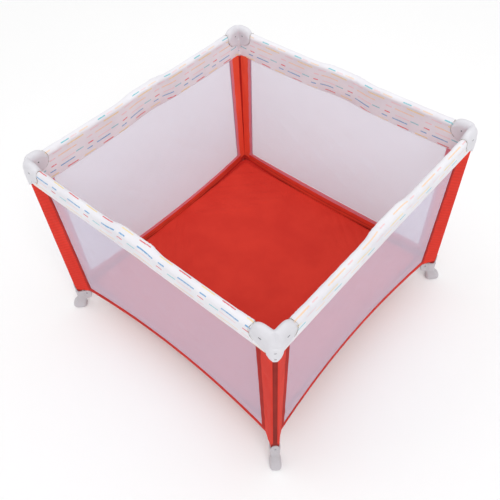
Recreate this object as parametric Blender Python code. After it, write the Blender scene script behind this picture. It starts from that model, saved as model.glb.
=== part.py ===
"""Folding square playpen: steel legs and rails, moulded corners and feet, net walls and a padded floor.

The frame stands with its four legs on the floor and the play space centred on the origin. Everything
at a corner is drawn once, for the corner at +X +Y, and turned into place by an empty at the origin.
"""
import bpy
import bmesh
from math import cos, sin, pi, radians, sqrt
from mathutils import Matrix, Vector

# Overall frame, in metres
HALF = 0.515                # centre to the outer faces of the corner fittings
DIAGONAL = sqrt(2)
GAP = 0.0003                # clearance between pieces that touch

# Legs: upright tubes with a fabric sleeve
LEG_INSET = 0.0202          # outer faces to the leg's axis
LEG_RADIUS = 0.0115
LEG_BORE = 0.0100
LEG_BOTTOM = 0.0300
LEG_TOP = 0.7710
SLEEVE_RADIUS = 0.0139
SLEEVE_BORE = 0.0119
SLEEVE_BOTTOM = 0.1003
SLEEVE_TOP = 0.6722

# Corner fittings: two hollow arms at a right angle, open underneath for the rails to swing down
ARM_THICK = 0.0310
ARM_ROUND = 0.0375          # rounded arm end, concentric with the rail pin
ARM_WALL = 0.0030
CHANNEL_START = 0.0337      # distance from the outer face at which the channel for the rail begins
STEM_BOTTOM = 0.6750
STEM_STEP = 0.0100
CORNER_ROUND = 0.0150
SOCKET_RADIUS = 0.0120      # hole for the leg
FITTING_BEVEL = 0.0040

# Top rails: two tubes on each side, hinged at the corners and in the middle
PIN_HEIGHT = 0.7430
PIN_FROM_FACE = 0.0495      # outer face to the rail's corner pin
PIN_RADIUS = 0.0025
PIN_HOLE = 0.0036
RAIL_INSET = 0.0155
RAIL_RADIUS = 0.0115
RAIL_BORE = 0.0100
RAIL_TAIL = 0.0090          # tube past its pin
MID_PIN = 0.0300            # middle of the side to each pin of the mid hinge

COVER_RADIUS = 0.0175
COVER_BORE = 0.0119
COVER_RISE = 0.0045         # the padding is thicker above the tube
COVER_CORNER_END = 0.0455   # corner pin to the cover's end
COVER_MID_END = 0.0175      # mid pin to the cover's end

# Mid hinges: an open-topped channel with a solid middle, and a sliding release button below
HOUSING_WIDTH = 0.0304
HOUSING_WALL = 0.0027
HOUSING_ROUND = 0.0155
HOUSING_BOTTOM = 0.7255
HOUSING_FLOOR = 0.7278
BLOCK_HALF = 0.0125
BUTTON_HALF = 0.0085
BUTTON_BOTTOM = 0.7185
BUTTON_TOP = 0.7300
BUTTON_TRAVEL = 0.0050

# Base: four tubes from the feet to a rising hub in the middle
FOOT_PIVOT = 0.6750         # along the diagonal, from the centre
HUB_PIVOT = FOOT_PIVOT - DIAGONAL * (HALF - PIN_FROM_FACE - MID_PIN)
PIVOT_HEIGHT = 0.0850
BASE_RADIUS = 0.0095
BASE_BORE = 0.0080
BASE_TAIL = 0.0050
CHEEK_GAP = 0.0103          # half the space between the cheeks that hold a base tube
CHEEK_THICK = 0.0032

HUB_RADIUS = 0.0700
HUB_CORE = 0.0455
HUB_BOTTOM = 0.0720
HUB_CHEEK_BOTTOM = 0.0765
HUB_PLATE_BOTTOM = 0.0975
HUB_TOP = 0.1080
STRAP_LENGTH = 0.1200
STRAP_WIDTH = 0.0250
STRAP_THICK = 0.0018

# Walls and padded floor
WALL_THICK = 0.0025
WALL_START = 0.0347         # outer face of the corner to the wall's edge beside the sleeve
WALL_BOTTOM = 0.1150
WALL_TOP = 0.7170
WALL_TOP_INSET = 0.0215
HEM_INSET_CORNER = 0.0300
HEM_INSET_MIDDLE = 0.0620
PAD_BOTTOM = 0.1106
PAD_TOP = 0.1380
PAD_EDGE_ROUND = 0.0080
PAD_GAP = 0.0008            # between the padded floor and the walls

ROUND_SIDES = 12
PIN_SIDES = 8

CORNERS = {"back_right": 0, "back_left": 90, "front_left": 180, "front_right": 270}
# Side name and end name of each corner's two rails: the one along its local X, then along its local Y
RAILS_AT = {
    "back_right": (("back", "right"), ("right", "back")),
    "back_left": (("left", "back"), ("back", "left")),
    "front_left": (("front", "left"), ("left", "front")),
    "front_right": (("right", "front"), ("front", "right")),
}
SIDES = {"back": 0, "left": 90, "front": 180, "right": 270}


def clear_scene():
    for obj in list(bpy.data.objects):
        bpy.data.objects.remove(obj)


def make_material(name, colour, roughness, metallic=0.0):
    material = bpy.data.materials.new(name)
    material.use_nodes = True
    shader = material.node_tree.nodes["Principled BSDF"]
    shader.inputs["Base Color"].default_value = (*colour, 1)
    shader.inputs["Roughness"].default_value = roughness
    shader.inputs["Metallic"].default_value = metallic
    return material


# Mesh building blocks

def mesh_from(bm, name):
    bmesh.ops.recalc_face_normals(bm, faces=bm.faces)
    mesh = bpy.data.meshes.new(name)
    bm.to_mesh(mesh)
    bm.free()
    return mesh


def loft(rings, name="loft", flat_sides=False):
    """Closed solid through rings of equal length, with a flat cap at each end."""
    bm = bmesh.new()
    rows = [[bm.verts.new(point) for point in ring] for ring in rings]
    for low, high in zip(rows, rows[1:]):
        for i in range(len(low)):
            j = (i + 1) % len(low)
            bm.faces.new((low[i], low[j], high[j], high[i]))
    if not flat_sides:
        bmesh.ops.triangulate(bm, faces=bm.faces)
    bm.faces.new(rows[0])
    bm.faces.new(rows[-1])
    return mesh_from(bm, name)


def pipe(rings, name):
    """Closed solid whose rings run out along the outside and back along the inside."""
    bm = bmesh.new()
    rows = [[bm.verts.new(point) for point in ring] for ring in rings]
    for low, high in zip(rows, rows[1:] + rows[:1]):
        for i in range(len(low)):
            j = (i + 1) % len(low)
            bm.faces.new((low[i], low[j], high[j], high[i]))
    return mesh_from(bm, name)


def arc(centre, radius, start, end, steps):
    """Points on a circle, angles in degrees, both ends included."""
    angles = [radians(start + (end - start) * i / steps) for i in range(steps + 1)]
    return [(centre[0] + radius * cos(a), centre[1] + radius * sin(a)) for a in angles]


def circle(radius, sides, height=0.0):
    """Ring of points across the X axis, centred at the given height."""
    angles = [2 * pi * (i + 0.5) / sides for i in range(sides)]
    return [(radius * cos(a), height + radius * sin(a)) for a in angles]


def prism(outline, low, high, axis):
    """An outline of (first, second) points, extruded along the axis that is neither of them."""
    place = {
        "X": lambda a, b, c: (c, a, b),
        "Y": lambda a, b, c: (a, c, b),
        "Z": lambda a, b, c: (a, b, c),
    }[axis]
    return loft([[place(a, b, end) for a, b in outline] for end in (low, high)], "prism", True)


def box(low, high):
    outline = [(low[0], low[1]), (high[0], low[1]), (high[0], high[1]), (low[0], high[1])]
    return prism(outline, low[2], high[2], "Z")


def rod(radius, sides, low, high, axis, centre):
    outline = [(centre[0] + a, centre[1] + b) for a, b in circle(radius, sides)]
    return prism(outline, low, high, axis)


def hollow_rod(outer, bore, start, end, rise=0.0):
    """Tube along X; the outside is raised above the bore."""
    def ring(x, radius, height):
        return [(x, a, b) for a, b in circle(radius, ROUND_SIDES, height)]
    rings = [ring(start, outer, rise), ring(end, outer, rise), ring(end, bore, 0), ring(start, bore, 0)]
    return pipe(rings, "hollow_rod")


def carve(mesh, steps, bevel=None):
    """Join, cut or intersect a mesh with others, in order, and return the finished mesh."""
    base = bpy.data.objects.new("carve", mesh)
    bpy.context.collection.objects.link(base)
    tools = []
    for operation, tool_mesh in steps:
        tool = bpy.data.objects.new("tool", tool_mesh)
        bpy.context.collection.objects.link(tool)
        tool.hide_render = True
        tool.display_type = 'WIRE'
        modifier = base.modifiers.new(operation, 'BOOLEAN')
        modifier.operation = operation
        modifier.object = tool
        tools.append(tool)
    if bevel:
        rounding = base.modifiers.new("rounding", 'BEVEL')
        rounding.width = bevel
        rounding.segments = 1
        rounding.limit_method = 'ANGLE'
        rounding.angle_limit = radians(50)
    graph = bpy.context.evaluated_depsgraph_get()
    result = bpy.data.meshes.new_from_object(base.evaluated_get(graph))
    for obj in [base, *tools]:
        bpy.data.objects.remove(obj)
    return result


def place(name, mesh, material, parent, location=(0, 0, 0), turn=0.0, smooth_below=40):
    obj = bpy.data.objects.new(name, mesh)
    bpy.context.collection.objects.link(obj)
    obj.parent = parent
    obj.location = location
    obj.rotation_euler = (0, 0, radians(turn))
    if not mesh.materials:
        mesh.materials.append(material)
    mesh.shade_smooth()
    mesh.set_sharp_from_angle(angle=radians(smooth_below))
    return obj


def turned_empty(name, degrees):
    empty = bpy.data.objects.new(name, None)
    bpy.context.collection.objects.link(empty)
    empty.rotation_euler = (0, 0, radians(degrees))
    return empty


# Corner fitting, leg and sleeve

def arm_outline():
    """Side view of an arm, as (distance along X, height)."""
    pin_x = HALF - PIN_FROM_FACE
    top = PIN_HEIGHT + ARM_ROUND
    nose = arc((pin_x, PIN_HEIGHT), ARM_ROUND, 90, 270, 8)
    return [(HALF, STEM_BOTTOM), (HALF, top), *nose, (HALF - STEM_STEP, STEM_BOTTOM)]


def fitting_plan():
    """Plan of the two arms, with a rounded outer corner."""
    reach = HALF - PIN_FROM_FACE - ARM_ROUND - 0.01
    inner = HALF - ARM_THICK
    centre = HALF - CORNER_ROUND
    corner = arc((centre, centre), CORNER_ROUND, 0, 90, 3)
    return [(inner, reach), (HALF, reach), *corner, (reach, HALF), (reach, inner), (inner, inner)]


def fitting_mesh():
    outline = arm_outline()
    top = PIN_HEIGHT + ARM_ROUND
    plan = prism(fitting_plan(), STEM_BOTTOM - 0.01, top + 0.01, "Z")
    side_x = prism(outline, 0.3, 0.6, "Y")
    side_y = prism(outline, 0.3, 0.6, "X")
    shell = carve(plan, [('INTERSECT', side_x), ('INTERSECT', side_y)], FITTING_BEVEL)

    start = HALF - CHANNEL_START
    low = HALF - ARM_THICK + ARM_WALL
    high = HALF - ARM_WALL
    far = 0.3
    roof = top - ARM_WALL
    leg = HALF - LEG_INSET
    pin = HALF - PIN_FROM_FACE
    rail = HALF - RAIL_INSET
    reach = ARM_THICK / 2 - 0.001
    return carve(shell, [
        ('DIFFERENCE', box((far, low, STEM_BOTTOM - 0.01), (start, high, roof))),
        ('DIFFERENCE', box((low, far, STEM_BOTTOM - 0.01), (high, start, roof))),
        ('DIFFERENCE', rod(SOCKET_RADIUS, ROUND_SIDES, STEM_BOTTOM - 0.01, LEG_TOP + GAP, "Z", (leg, leg))),
        ('UNION', rod(PIN_RADIUS, PIN_SIDES, rail - reach, rail + reach, "Y", (pin, PIN_HEIGHT))),
        ('UNION', rod(PIN_RADIUS, PIN_SIDES, rail - reach, rail + reach, "X", (pin, PIN_HEIGHT))),
    ])


def upright_tube(outer, bore, bottom, top):
    mesh = hollow_rod(outer, bore, bottom, top)
    mesh.transform(Matrix.Rotation(-pi / 2, 4, 'Y'))
    return mesh


# Foot

def rounded_ring(centre, half_long, half_wide, height, sides=16, power=3.0):
    """Superellipse ring about a point on the X axis."""
    ring = []
    for i in range(sides):
        a = 2 * pi * (i + 0.5) / sides
        c, s = cos(a), sin(a)
        x = half_long * abs(c) ** (2 / power) * (1 if c > 0 else -1)
        y = half_wide * abs(s) ** (2 / power) * (1 if s > 0 else -1)
        ring.append((centre + x, y, height))
    return ring


def tongue_ring(centre, inner, outer, half_angle, height, steps=4):
    """Curved strip of the foot's outer tongue, seen from above."""
    out = arc((centre, 0), outer, -half_angle, half_angle, steps)
    back = arc((centre, 0), inner, half_angle, -half_angle, steps)
    return [(x, y, height) for x, y in out + back]


def foot_mesh():
    """Drawn with the outward diagonal along +X and the centre of the playpen at the origin."""
    leg = DIAGONAL * (HALF - LEG_INSET)
    heights_and_sizes = [
        # height, inner end, outer end, half width
        (0.0000, 0.6965, 0.7415, 0.0170),
        (0.0035, 0.6930, 0.7450, 0.0200),
        (0.0180, 0.6925, 0.7440, 0.0195),
        (0.0340, 0.6880, 0.7330, 0.0162),
        (0.0520, 0.6835, 0.7200, 0.0150),
        (0.0640, 0.6820, 0.7175, 0.0172),
        (0.1000, 0.6826, 0.7169, 0.0170),
    ]
    rings = [rounded_ring((a + b) / 2, (b - a) / 2, w, z) for z, a, b, w in heights_and_sizes]
    body = loft(rings)

    tongue_inner = SLEEVE_RADIUS + GAP
    tongue_outer = 0.0172
    tongue = loft([
        tongue_ring(leg, tongue_inner, tongue_outer, 60, 0.0950),
        tongue_ring(leg, tongue_inner, tongue_outer, 55, 0.1120),
        tongue_ring(leg, tongue_inner, tongue_outer, 38, 0.1290),
        tongue_ring(leg, tongue_inner, tongue_outer, 14, 0.1360),
    ])

    nose = arc((FOOT_PIVOT - 0.004, PIVOT_HEIGHT), 0.0145, 90, 180, 4)
    bracket_bottom = 0.0530
    outline = [*nose, (FOOT_PIVOT - 0.0145, bracket_bottom + 0.012), (FOOT_PIVOT - 0.002, bracket_bottom),
               (leg - 0.008, bracket_bottom), (leg - 0.008, PIVOT_HEIGHT + 0.0145)]
    width = CHEEK_GAP + CHEEK_THICK
    bracket = prism(outline, -width, width, "Y")
    notch_floor = 0.0600
    notch = box((FOOT_PIVOT - 0.06, -CHEEK_GAP, notch_floor), (leg - SOCKET_RADIUS - 0.0013, CHEEK_GAP, 0.12))
    return carve(body, [
        ('UNION', tongue),
        ('UNION', bracket),
        ('DIFFERENCE', rod(SOCKET_RADIUS, ROUND_SIDES, LEG_BOTTOM - GAP, 0.2, "Z", (leg, 0))),
        ('DIFFERENCE', notch),
        ('UNION', rod(PIN_RADIUS, PIN_SIDES, -width + 0.001, width - 0.001, "Y", (FOOT_PIVOT, PIVOT_HEIGHT))),
    ])


# Tubes with cross holes

def drilled_tube(outer, bore, start, end, holes):
    """Tube along X with cross holes along Y."""
    tube = hollow_rod(outer, bore, start, end)
    reach = outer + 0.005
    cuts = [('DIFFERENCE', rod(PIN_HOLE, PIN_SIDES, -reach, reach, "Y", (x, 0))) for x in holes]
    return carve(tube, cuts)


# Mid hinge and its button

def housing_outline():
    """Side view, as (distance along the rail, height), pins at plus and minus MID_PIN."""
    right = arc((MID_PIN, PIN_HEIGHT), HOUSING_ROUND, 0, 90, 4)
    left = arc((-MID_PIN, PIN_HEIGHT), HOUSING_ROUND, 90, 180, 4)
    end = MID_PIN + HOUSING_ROUND
    chamfer = 0.006
    return [(-end + chamfer, HOUSING_BOTTOM), (end - chamfer, HOUSING_BOTTOM), (end, HOUSING_BOTTOM + chamfer),
            *right, *left, (-end, HOUSING_BOTTOM + chamfer)]


def housing_mesh():
    half = HOUSING_WIDTH / 2
    inside = half - HOUSING_WALL
    shell = prism(housing_outline(), -half, half, "Y")
    end = MID_PIN + HOUSING_ROUND + 0.01
    top = PIN_HEIGHT + HOUSING_ROUND
    pocket = BUTTON_HALF + 0.0006
    block = box((-BLOCK_HALF, -half + 0.001, HOUSING_BOTTOM + 0.001), (BLOCK_HALF, half - 0.001, top - 0.001))
    steps = [('DIFFERENCE', box((-end, -inside, HOUSING_FLOOR), (end, inside, top + 0.01))), ('UNION', block)]
    for x in (-MID_PIN, MID_PIN):
        steps.append(('UNION', rod(PIN_RADIUS, PIN_SIDES, -half + 0.001, half - 0.001, "Y", (x, PIN_HEIGHT))))
    roof = BUTTON_TOP + BUTTON_TRAVEL + 0.002
    steps.append(('DIFFERENCE', box((-pocket, -pocket, HOUSING_BOTTOM - 0.01), (pocket, pocket, roof))))
    return carve(shell, steps)


def button_mesh():
    """A rounded block, its lower edges softened for the fingertip."""
    half = BUTTON_HALF
    low = half - 0.002
    return loft([
        rounded_ring(0, low, low, BUTTON_BOTTOM, 12, 4),
        rounded_ring(0, half, half, BUTTON_BOTTOM + 0.002, 12, 4),
        rounded_ring(0, half, half, BUTTON_TOP, 12, 4),
    ])


# Hub and strap

def hub_mesh():
    cap = loft([
        rounded_ring(0, HUB_RADIUS, HUB_RADIUS, HUB_PLATE_BOTTOM, 24, 2),
        rounded_ring(0, HUB_RADIUS, HUB_RADIUS, HUB_TOP - 0.0025, 24, 2),
        rounded_ring(0, HUB_RADIUS - 0.004, HUB_RADIUS - 0.004, HUB_TOP, 24, 2),
    ])
    core = loft([rounded_ring(0, HUB_CORE, HUB_CORE, z, 24, 2) for z in (HUB_BOTTOM, HUB_PLATE_BOTTOM + 0.002)])
    steps = [('UNION', core)]
    width = CHEEK_GAP + CHEEK_THICK
    for quarter in range(4):
        turn = Matrix.Rotation(radians(45 + 90 * quarter), 4, 'Z')
        for sign in (-1, 1):
            low, high = sorted((sign * CHEEK_GAP, sign * width))
            cheek = box((HUB_CORE - 0.004, low, HUB_CHEEK_BOTTOM), (HUB_PIVOT + 0.0075, high, HUB_PLATE_BOTTOM + 0.002))
            cheek.transform(turn)
            steps.append(('UNION', cheek))
        pin = rod(PIN_RADIUS, PIN_SIDES, -width + 0.001, width - 0.001, "Y", (HUB_PIVOT, PIVOT_HEIGHT))
        pin.transform(turn)
        steps.append(('UNION', pin))
    return carve(cap, steps)


def strap_mesh():
    """Pull strap lying flat on the hub, with rounded corners."""
    low = HUB_TOP + GAP
    return loft([
        rounded_ring(0, STRAP_LENGTH / 2, STRAP_WIDTH / 2, z, 16, 6) for z in (low, low + STRAP_THICK)
    ])


# Walls and padded floor

def hem_inset(distance):
    """How far the pulled-in hem lies behind the outer face, at a distance from the middle of a side."""
    share = min(1.0, abs(distance) / (HALF - WALL_START))
    return HEM_INSET_CORNER + (HEM_INSET_MIDDLE - HEM_INSET_CORNER) * (1 - share ** 2)


def wall_mesh():
    """Half of the back wall, from the right corner's sleeve to the middle, as a thin solid."""
    below_fitting = 0.6880
    at_arm_end = 0.6995
    arm_end = HALF - PIN_FROM_FACE - ARM_ROUND - 0.0015
    columns = [(HALF - WALL_START, below_fitting), (arm_end, at_arm_end), (arm_end - 0.012, WALL_TOP)]
    columns += [(x, WALL_TOP) for x in (0.30, 0.20, 0.10, 0.0005)]
    bm = bmesh.new()
    outside, inside = [], []
    for x, top in columns:
        low_y = HALF - hem_inset(x)
        high_y = HALF - WALL_TOP_INSET
        share = (top - WALL_BOTTOM) / (WALL_TOP - WALL_BOTTOM)
        top_y = low_y + (high_y - low_y) * share
        outside.append((bm.verts.new((x, low_y, WALL_BOTTOM)), bm.verts.new((x, top_y, top))))
        inside.append((bm.verts.new((x, low_y - WALL_THICK, WALL_BOTTOM)),
                       bm.verts.new((x, top_y - WALL_THICK, top))))
    for i in range(len(columns) - 1):
        (a, b), (c, d) = outside[i], outside[i + 1]
        (e, f), (g, h) = inside[i], inside[i + 1]
        for face in ((a, c, d, b), (e, f, h, g), (a, e, g, c), (b, d, h, f)):
            bm.faces.new(face)
    for (a, b), (c, d) in ((outside[0], inside[0]), (outside[-1], inside[-1])):
        bm.faces.new((a, b, d, c))
    return mesh_from(bm, "wall")


def floor_edge(inset_extra, steps):
    """Points from the middle of the right side to the middle of the back side, inside the hems."""
    limit = DIAGONAL * (HALF - LEG_INSET) - SLEEVE_RADIUS - 0.011 - inset_extra
    right = []
    for i in range(steps + 1):
        y = 0.47 * i / steps
        x = HALF - hem_inset(y) - inset_extra
        spare = DIAGONAL * limit - x
        if y > spare:
            right.append((x, spare))
            break
        right.append((x, y))
    return right + [(y, x) for x, y in reversed(right)]


def pad_mesh():
    """Quarter of the padded floor: flat where it meets the other quarters, rounded along the hems."""
    middle = GAP
    edge = floor_edge(WALL_THICK + PAD_GAP, 6)

    def ring(shrink, height):
        points = [(middle, middle, height)]
        for x, y in edge:
            scale = 1 - shrink / Vector((x, y)).length
            points.append((max(x * scale, middle), max(y * scale, middle), height))
        return points

    r = PAD_EDGE_ROUND
    return loft([ring(r / 2, PAD_BOTTOM), ring(0, PAD_BOTTOM + r / 2), ring(0, PAD_TOP - r),
                 ring(r * 0.3, PAD_TOP - r * 0.3), ring(r, PAD_TOP)])


def build():
    clear_scene()
    white_plastic = make_material("white_plastic", (0.72, 0.71, 0.75), 0.45)
    grey_plastic = make_material("grey_plastic", (0.50, 0.47, 0.48), 0.5)
    dark_plastic = make_material("dark_plastic", (0.10, 0.10, 0.11), 0.5)
    steel = make_material("painted_steel", (0.60, 0.60, 0.62), 0.35, 0.8)
    red_fabric = make_material("red_fabric", (0.59, 0.05, 0.03), 0.85)
    white_fabric = make_material("printed_fabric", (0.80, 0.79, 0.82), 0.85)
    net = make_material("net", (0.75, 0.68, 0.78), 0.9)
    webbing = make_material("webbing", (0.05, 0.05, 0.05), 0.9)

    leg_at = HALF - LEG_INSET
    pin_at = HALF - PIN_FROM_FACE
    rail_at = HALF - RAIL_INSET
    half_rail = pin_at - MID_PIN

    fitting = fitting_mesh()
    leg = upright_tube(LEG_RADIUS, LEG_BORE, LEG_BOTTOM, LEG_TOP)
    sleeve = upright_tube(SLEEVE_RADIUS, SLEEVE_BORE, SLEEVE_BOTTOM, SLEEVE_TOP)
    foot = foot_mesh()
    base = drilled_tube(BASE_RADIUS, BASE_BORE, HUB_PIVOT - BASE_TAIL - FOOT_PIVOT, BASE_TAIL,
                        (0, HUB_PIVOT - FOOT_PIVOT))
    rail = drilled_tube(RAIL_RADIUS, RAIL_BORE, -half_rail - RAIL_TAIL, RAIL_TAIL, (0, -half_rail))
    cover = hollow_rod(COVER_RADIUS, COVER_BORE, -half_rail + COVER_MID_END, -COVER_CORNER_END, COVER_RISE)
    wall_right = wall_mesh()
    wall_left = wall_right.copy()
    wall_left.transform(Matrix.Scale(-1, 4, (1, 0, 0)))
    wall_left.flip_normals()
    pad = pad_mesh()
    housing = housing_mesh()
    button = button_mesh()

    for corner, degrees in CORNERS.items():
        turned = turned_empty("at_" + corner, degrees)
        place("corner_fitting_" + corner, fitting, white_plastic, turned)
        place("leg_tube_" + corner, leg, steel, turned, (leg_at, leg_at, 0))
        place("leg_sleeve_" + corner, sleeve, red_fabric, turned, (leg_at, leg_at, 0))
        place("foot_" + corner, foot, grey_plastic, turned, turn=45)
        pivot = FOOT_PIVOT / DIAGONAL
        place("base_tube_" + corner, base, steel, turned, (pivot, pivot, PIVOT_HEIGHT), 45)
        place("floor_pad_" + corner, pad, red_fabric, turned)
        (side_a, end_a), (side_b, end_b) = RAILS_AT[corner]
        for side, end, spot, turn in ((side_a, end_a, (pin_at, rail_at, PIN_HEIGHT), 0),
                                      (side_b, end_b, (rail_at, pin_at, PIN_HEIGHT), 90)):
            place(f"{side}_rail_tube_{end}", rail, steel, turned, spot, turn)
            place(f"{side}_rail_cover_{end}", cover, white_fabric, turned, spot, turn)
        place(f"{side_a}_wall_{end_a}", wall_right, net, turned)
        place(f"{side_b}_wall_{end_b}", wall_left, net, turned, turn=-90)

    for side, degrees in SIDES.items():
        turned = turned_empty("along_" + side, degrees)
        place(side + "_mid_hinge", housing, grey_plastic, turned, (0, rail_at, 0))
        place(side + "_release_button", button, dark_plastic, turned, (0, rail_at, 0))

    place("hub", hub_mesh(), grey_plastic, None)
    place("pull_strap", strap_mesh(), webbing, None)


build()
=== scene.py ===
"""Looks of the folding square playpen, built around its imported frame.

Everything at a corner is drawn once, for the corner at +X +Y, and everything along a side once, for the
side at +Y. Objects are then turned into place about the Z axis.
"""
import itertools
from math import cos, pi, radians, sin, sqrt

import bpy
import numpy as np
from mathutils import Matrix, Vector


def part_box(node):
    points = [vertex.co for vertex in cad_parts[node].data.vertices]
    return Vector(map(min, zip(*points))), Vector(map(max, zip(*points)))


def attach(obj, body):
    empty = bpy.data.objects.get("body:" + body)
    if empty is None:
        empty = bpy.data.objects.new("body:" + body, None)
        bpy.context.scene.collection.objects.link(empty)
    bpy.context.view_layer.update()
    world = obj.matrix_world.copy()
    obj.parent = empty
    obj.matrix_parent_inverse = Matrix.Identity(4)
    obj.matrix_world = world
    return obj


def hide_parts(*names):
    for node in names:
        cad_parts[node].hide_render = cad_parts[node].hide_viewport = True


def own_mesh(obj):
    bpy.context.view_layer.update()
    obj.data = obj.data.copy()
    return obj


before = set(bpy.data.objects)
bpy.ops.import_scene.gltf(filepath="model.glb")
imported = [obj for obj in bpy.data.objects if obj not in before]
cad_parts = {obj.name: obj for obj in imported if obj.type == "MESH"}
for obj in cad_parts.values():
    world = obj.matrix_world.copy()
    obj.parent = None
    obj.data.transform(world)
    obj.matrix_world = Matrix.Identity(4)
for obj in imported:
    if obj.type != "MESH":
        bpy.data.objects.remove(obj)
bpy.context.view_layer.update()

# Sizes, in metres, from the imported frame
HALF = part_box("corner_fitting_back_right")[1].x              # centre to the outer faces
LEG = sum(corner.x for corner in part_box("leg_tube_back_right")) / 2
LEG_OUT = LEG * sqrt(2)                                      # centre to a leg, along the diagonal
TUBE_Z = sum(corner.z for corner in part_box("back_rail_tube_right")) / 2
FLOOR_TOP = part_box("floor_pad_back_right")[1].z
PAD_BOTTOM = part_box("floor_pad_back_right")[0].z
HEM_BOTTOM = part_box("back_wall_right")[0].z
FITTING_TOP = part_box("corner_fitting_back_right")[1].z
STEM_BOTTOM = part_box("corner_fitting_back_right")[0].z
SLEEVE_LOW, SLEEVE_HIGH = (corner.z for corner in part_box("leg_sleeve_back_right"))

# Sizes that the frame's boxes don't give
ARM_THICK = 0.0310
ARM_MIDDLE = HALF - ARM_THICK / 2
ARM_ROUND = 0.0375                  # radius of the arm's nose, round the rail's pin
ARM_WALL = 0.0030
DOME_START = 0.7500                 # height where the fitting's top begins to curve in
DOME_TOP = 0.7760
DOME_SQUEEZE = 0.70                 # how much the dome is drawn flatter before its edges are rounded
CHANNEL_START = 0.0337
STEM_RADIUS = 0.0196
STEM_BORE = 0.0166
TUBE_BORE = 0.0122
TUBE_TOP = 0.7330                   # where the leg's tube ends inside the fitting
PIN = HALF - 0.0495                 # the rails' corner pins
COVER_MID = 0.0475                  # where the rails' covers end beside the mid hinges
COVER_INSET = 0.0150
COVER_Z = 0.7440
COVER_RADIUS = 0.0138
COVER_EDGE = 0.0384                 # from the pin to the fitting's edge, where the cover seems to end
COVER_REACH = 0.0310                # from the pin to where it really ends, tucked inside the plastic
END_SECTION = 0.4200                # place along a side whose section shapes the cover's ends
BULGE = 0.0074                      # how much higher the cover stands over the mid hinge
BAND_BOTTOM = 0.6545
BAND_JOIN = 0.7290                  # height where the band hangs from the cover
BAND_FREE = 0.7000                  # below this the band lies flat against the net
BAND_END = 0.4780                   # where the band's outer layer ends, beside the leg
WALL_TOP = 0.7170
WALL_TOP_INSET = 0.0215
WALL_START = 0.0347
HEM_INSET_CORNER = 0.0300
HEM_INSET_MIDDLE = 0.0620
HEM_END = 0.4822                    # where the hem ends, beside the leg
COLUMN_EDGE = 0.4450
COLUMN_WRAP = 0.0152                # radius of the column's cloth round the leg
RIB_PITCH, RIB_SLOPE = 0.0135, 0.62 # diagonal ribs of the column's cloth
SLEEVE_SEAMS = (0.652, 0.535)       # heights of the sewn lines round a sleeve
BINDING_EDGE = 0.4310
SELVEDGE_EDGE = 0.4330
NET_EDGE = 0.4475
STRIP_TOP = 0.1680
MAT_HALF = 0.4500                   # centre to the mat's edges
LEDGE_TOP = 0.1290                  # floor cloth round the mat
FOOT_PIVOT = 0.6750
PIVOT_HEIGHT = 0.0850
PRINT_REPEAT = (0.1534, 0.132)

CORNERS = {"back_right": 0, "back_left": 90, "front_left": 180, "front_right": 270}
SIDES = {"back": 0, "left": 90, "front": 180, "right": 270}
# Each side's two ends, the one at its local +X first, and the corner that each belongs to
ENDS = {
    "back": (("right", "back_right"), ("left", "back_left")),
    "left": (("back", "back_left"), ("front", "front_left")),
    "front": (("left", "front_left"), ("right", "front_right")),
    "right": (("front", "front_right"), ("back", "back_right")),
}
# Where the printed pattern starts on each side: along the rail, and round it
PRINT_START = {
    "back": (0.110, 0.0), "left": (0.107, -0.0025), "front": (0.108, -0.1045), "right": (0.106, -0.0536),
}


# Node trees

class Nodes:
    """Short calls for adding nodes to a node tree."""

    def __init__(self, tree):
        self.nodes, self.links = tree.nodes, tree.links

    def put(self, socket, value):
        if isinstance(value, bpy.types.NodeSocket):
            self.links.new(value, socket)
        elif value is not None:
            if isinstance(value, tuple) and len(value) == 3 and socket.type == "RGBA":
                value = (*value, 1)
            socket.default_value = value

    def add(self, kind, inputs=(), **settings):
        node = self.nodes.new(kind)
        for name, value in settings.items():
            setattr(node, name, value)
        for name, value in dict(inputs).items():
            self.put(node.inputs[name], value)
        return node

    def math(self, operation, a, b=None, c=None):
        node = self.add("ShaderNodeMath", operation=operation)
        for socket, value in zip(node.inputs, (a, b, c)):
            self.put(socket, value)
        return node.outputs[0]


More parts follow.
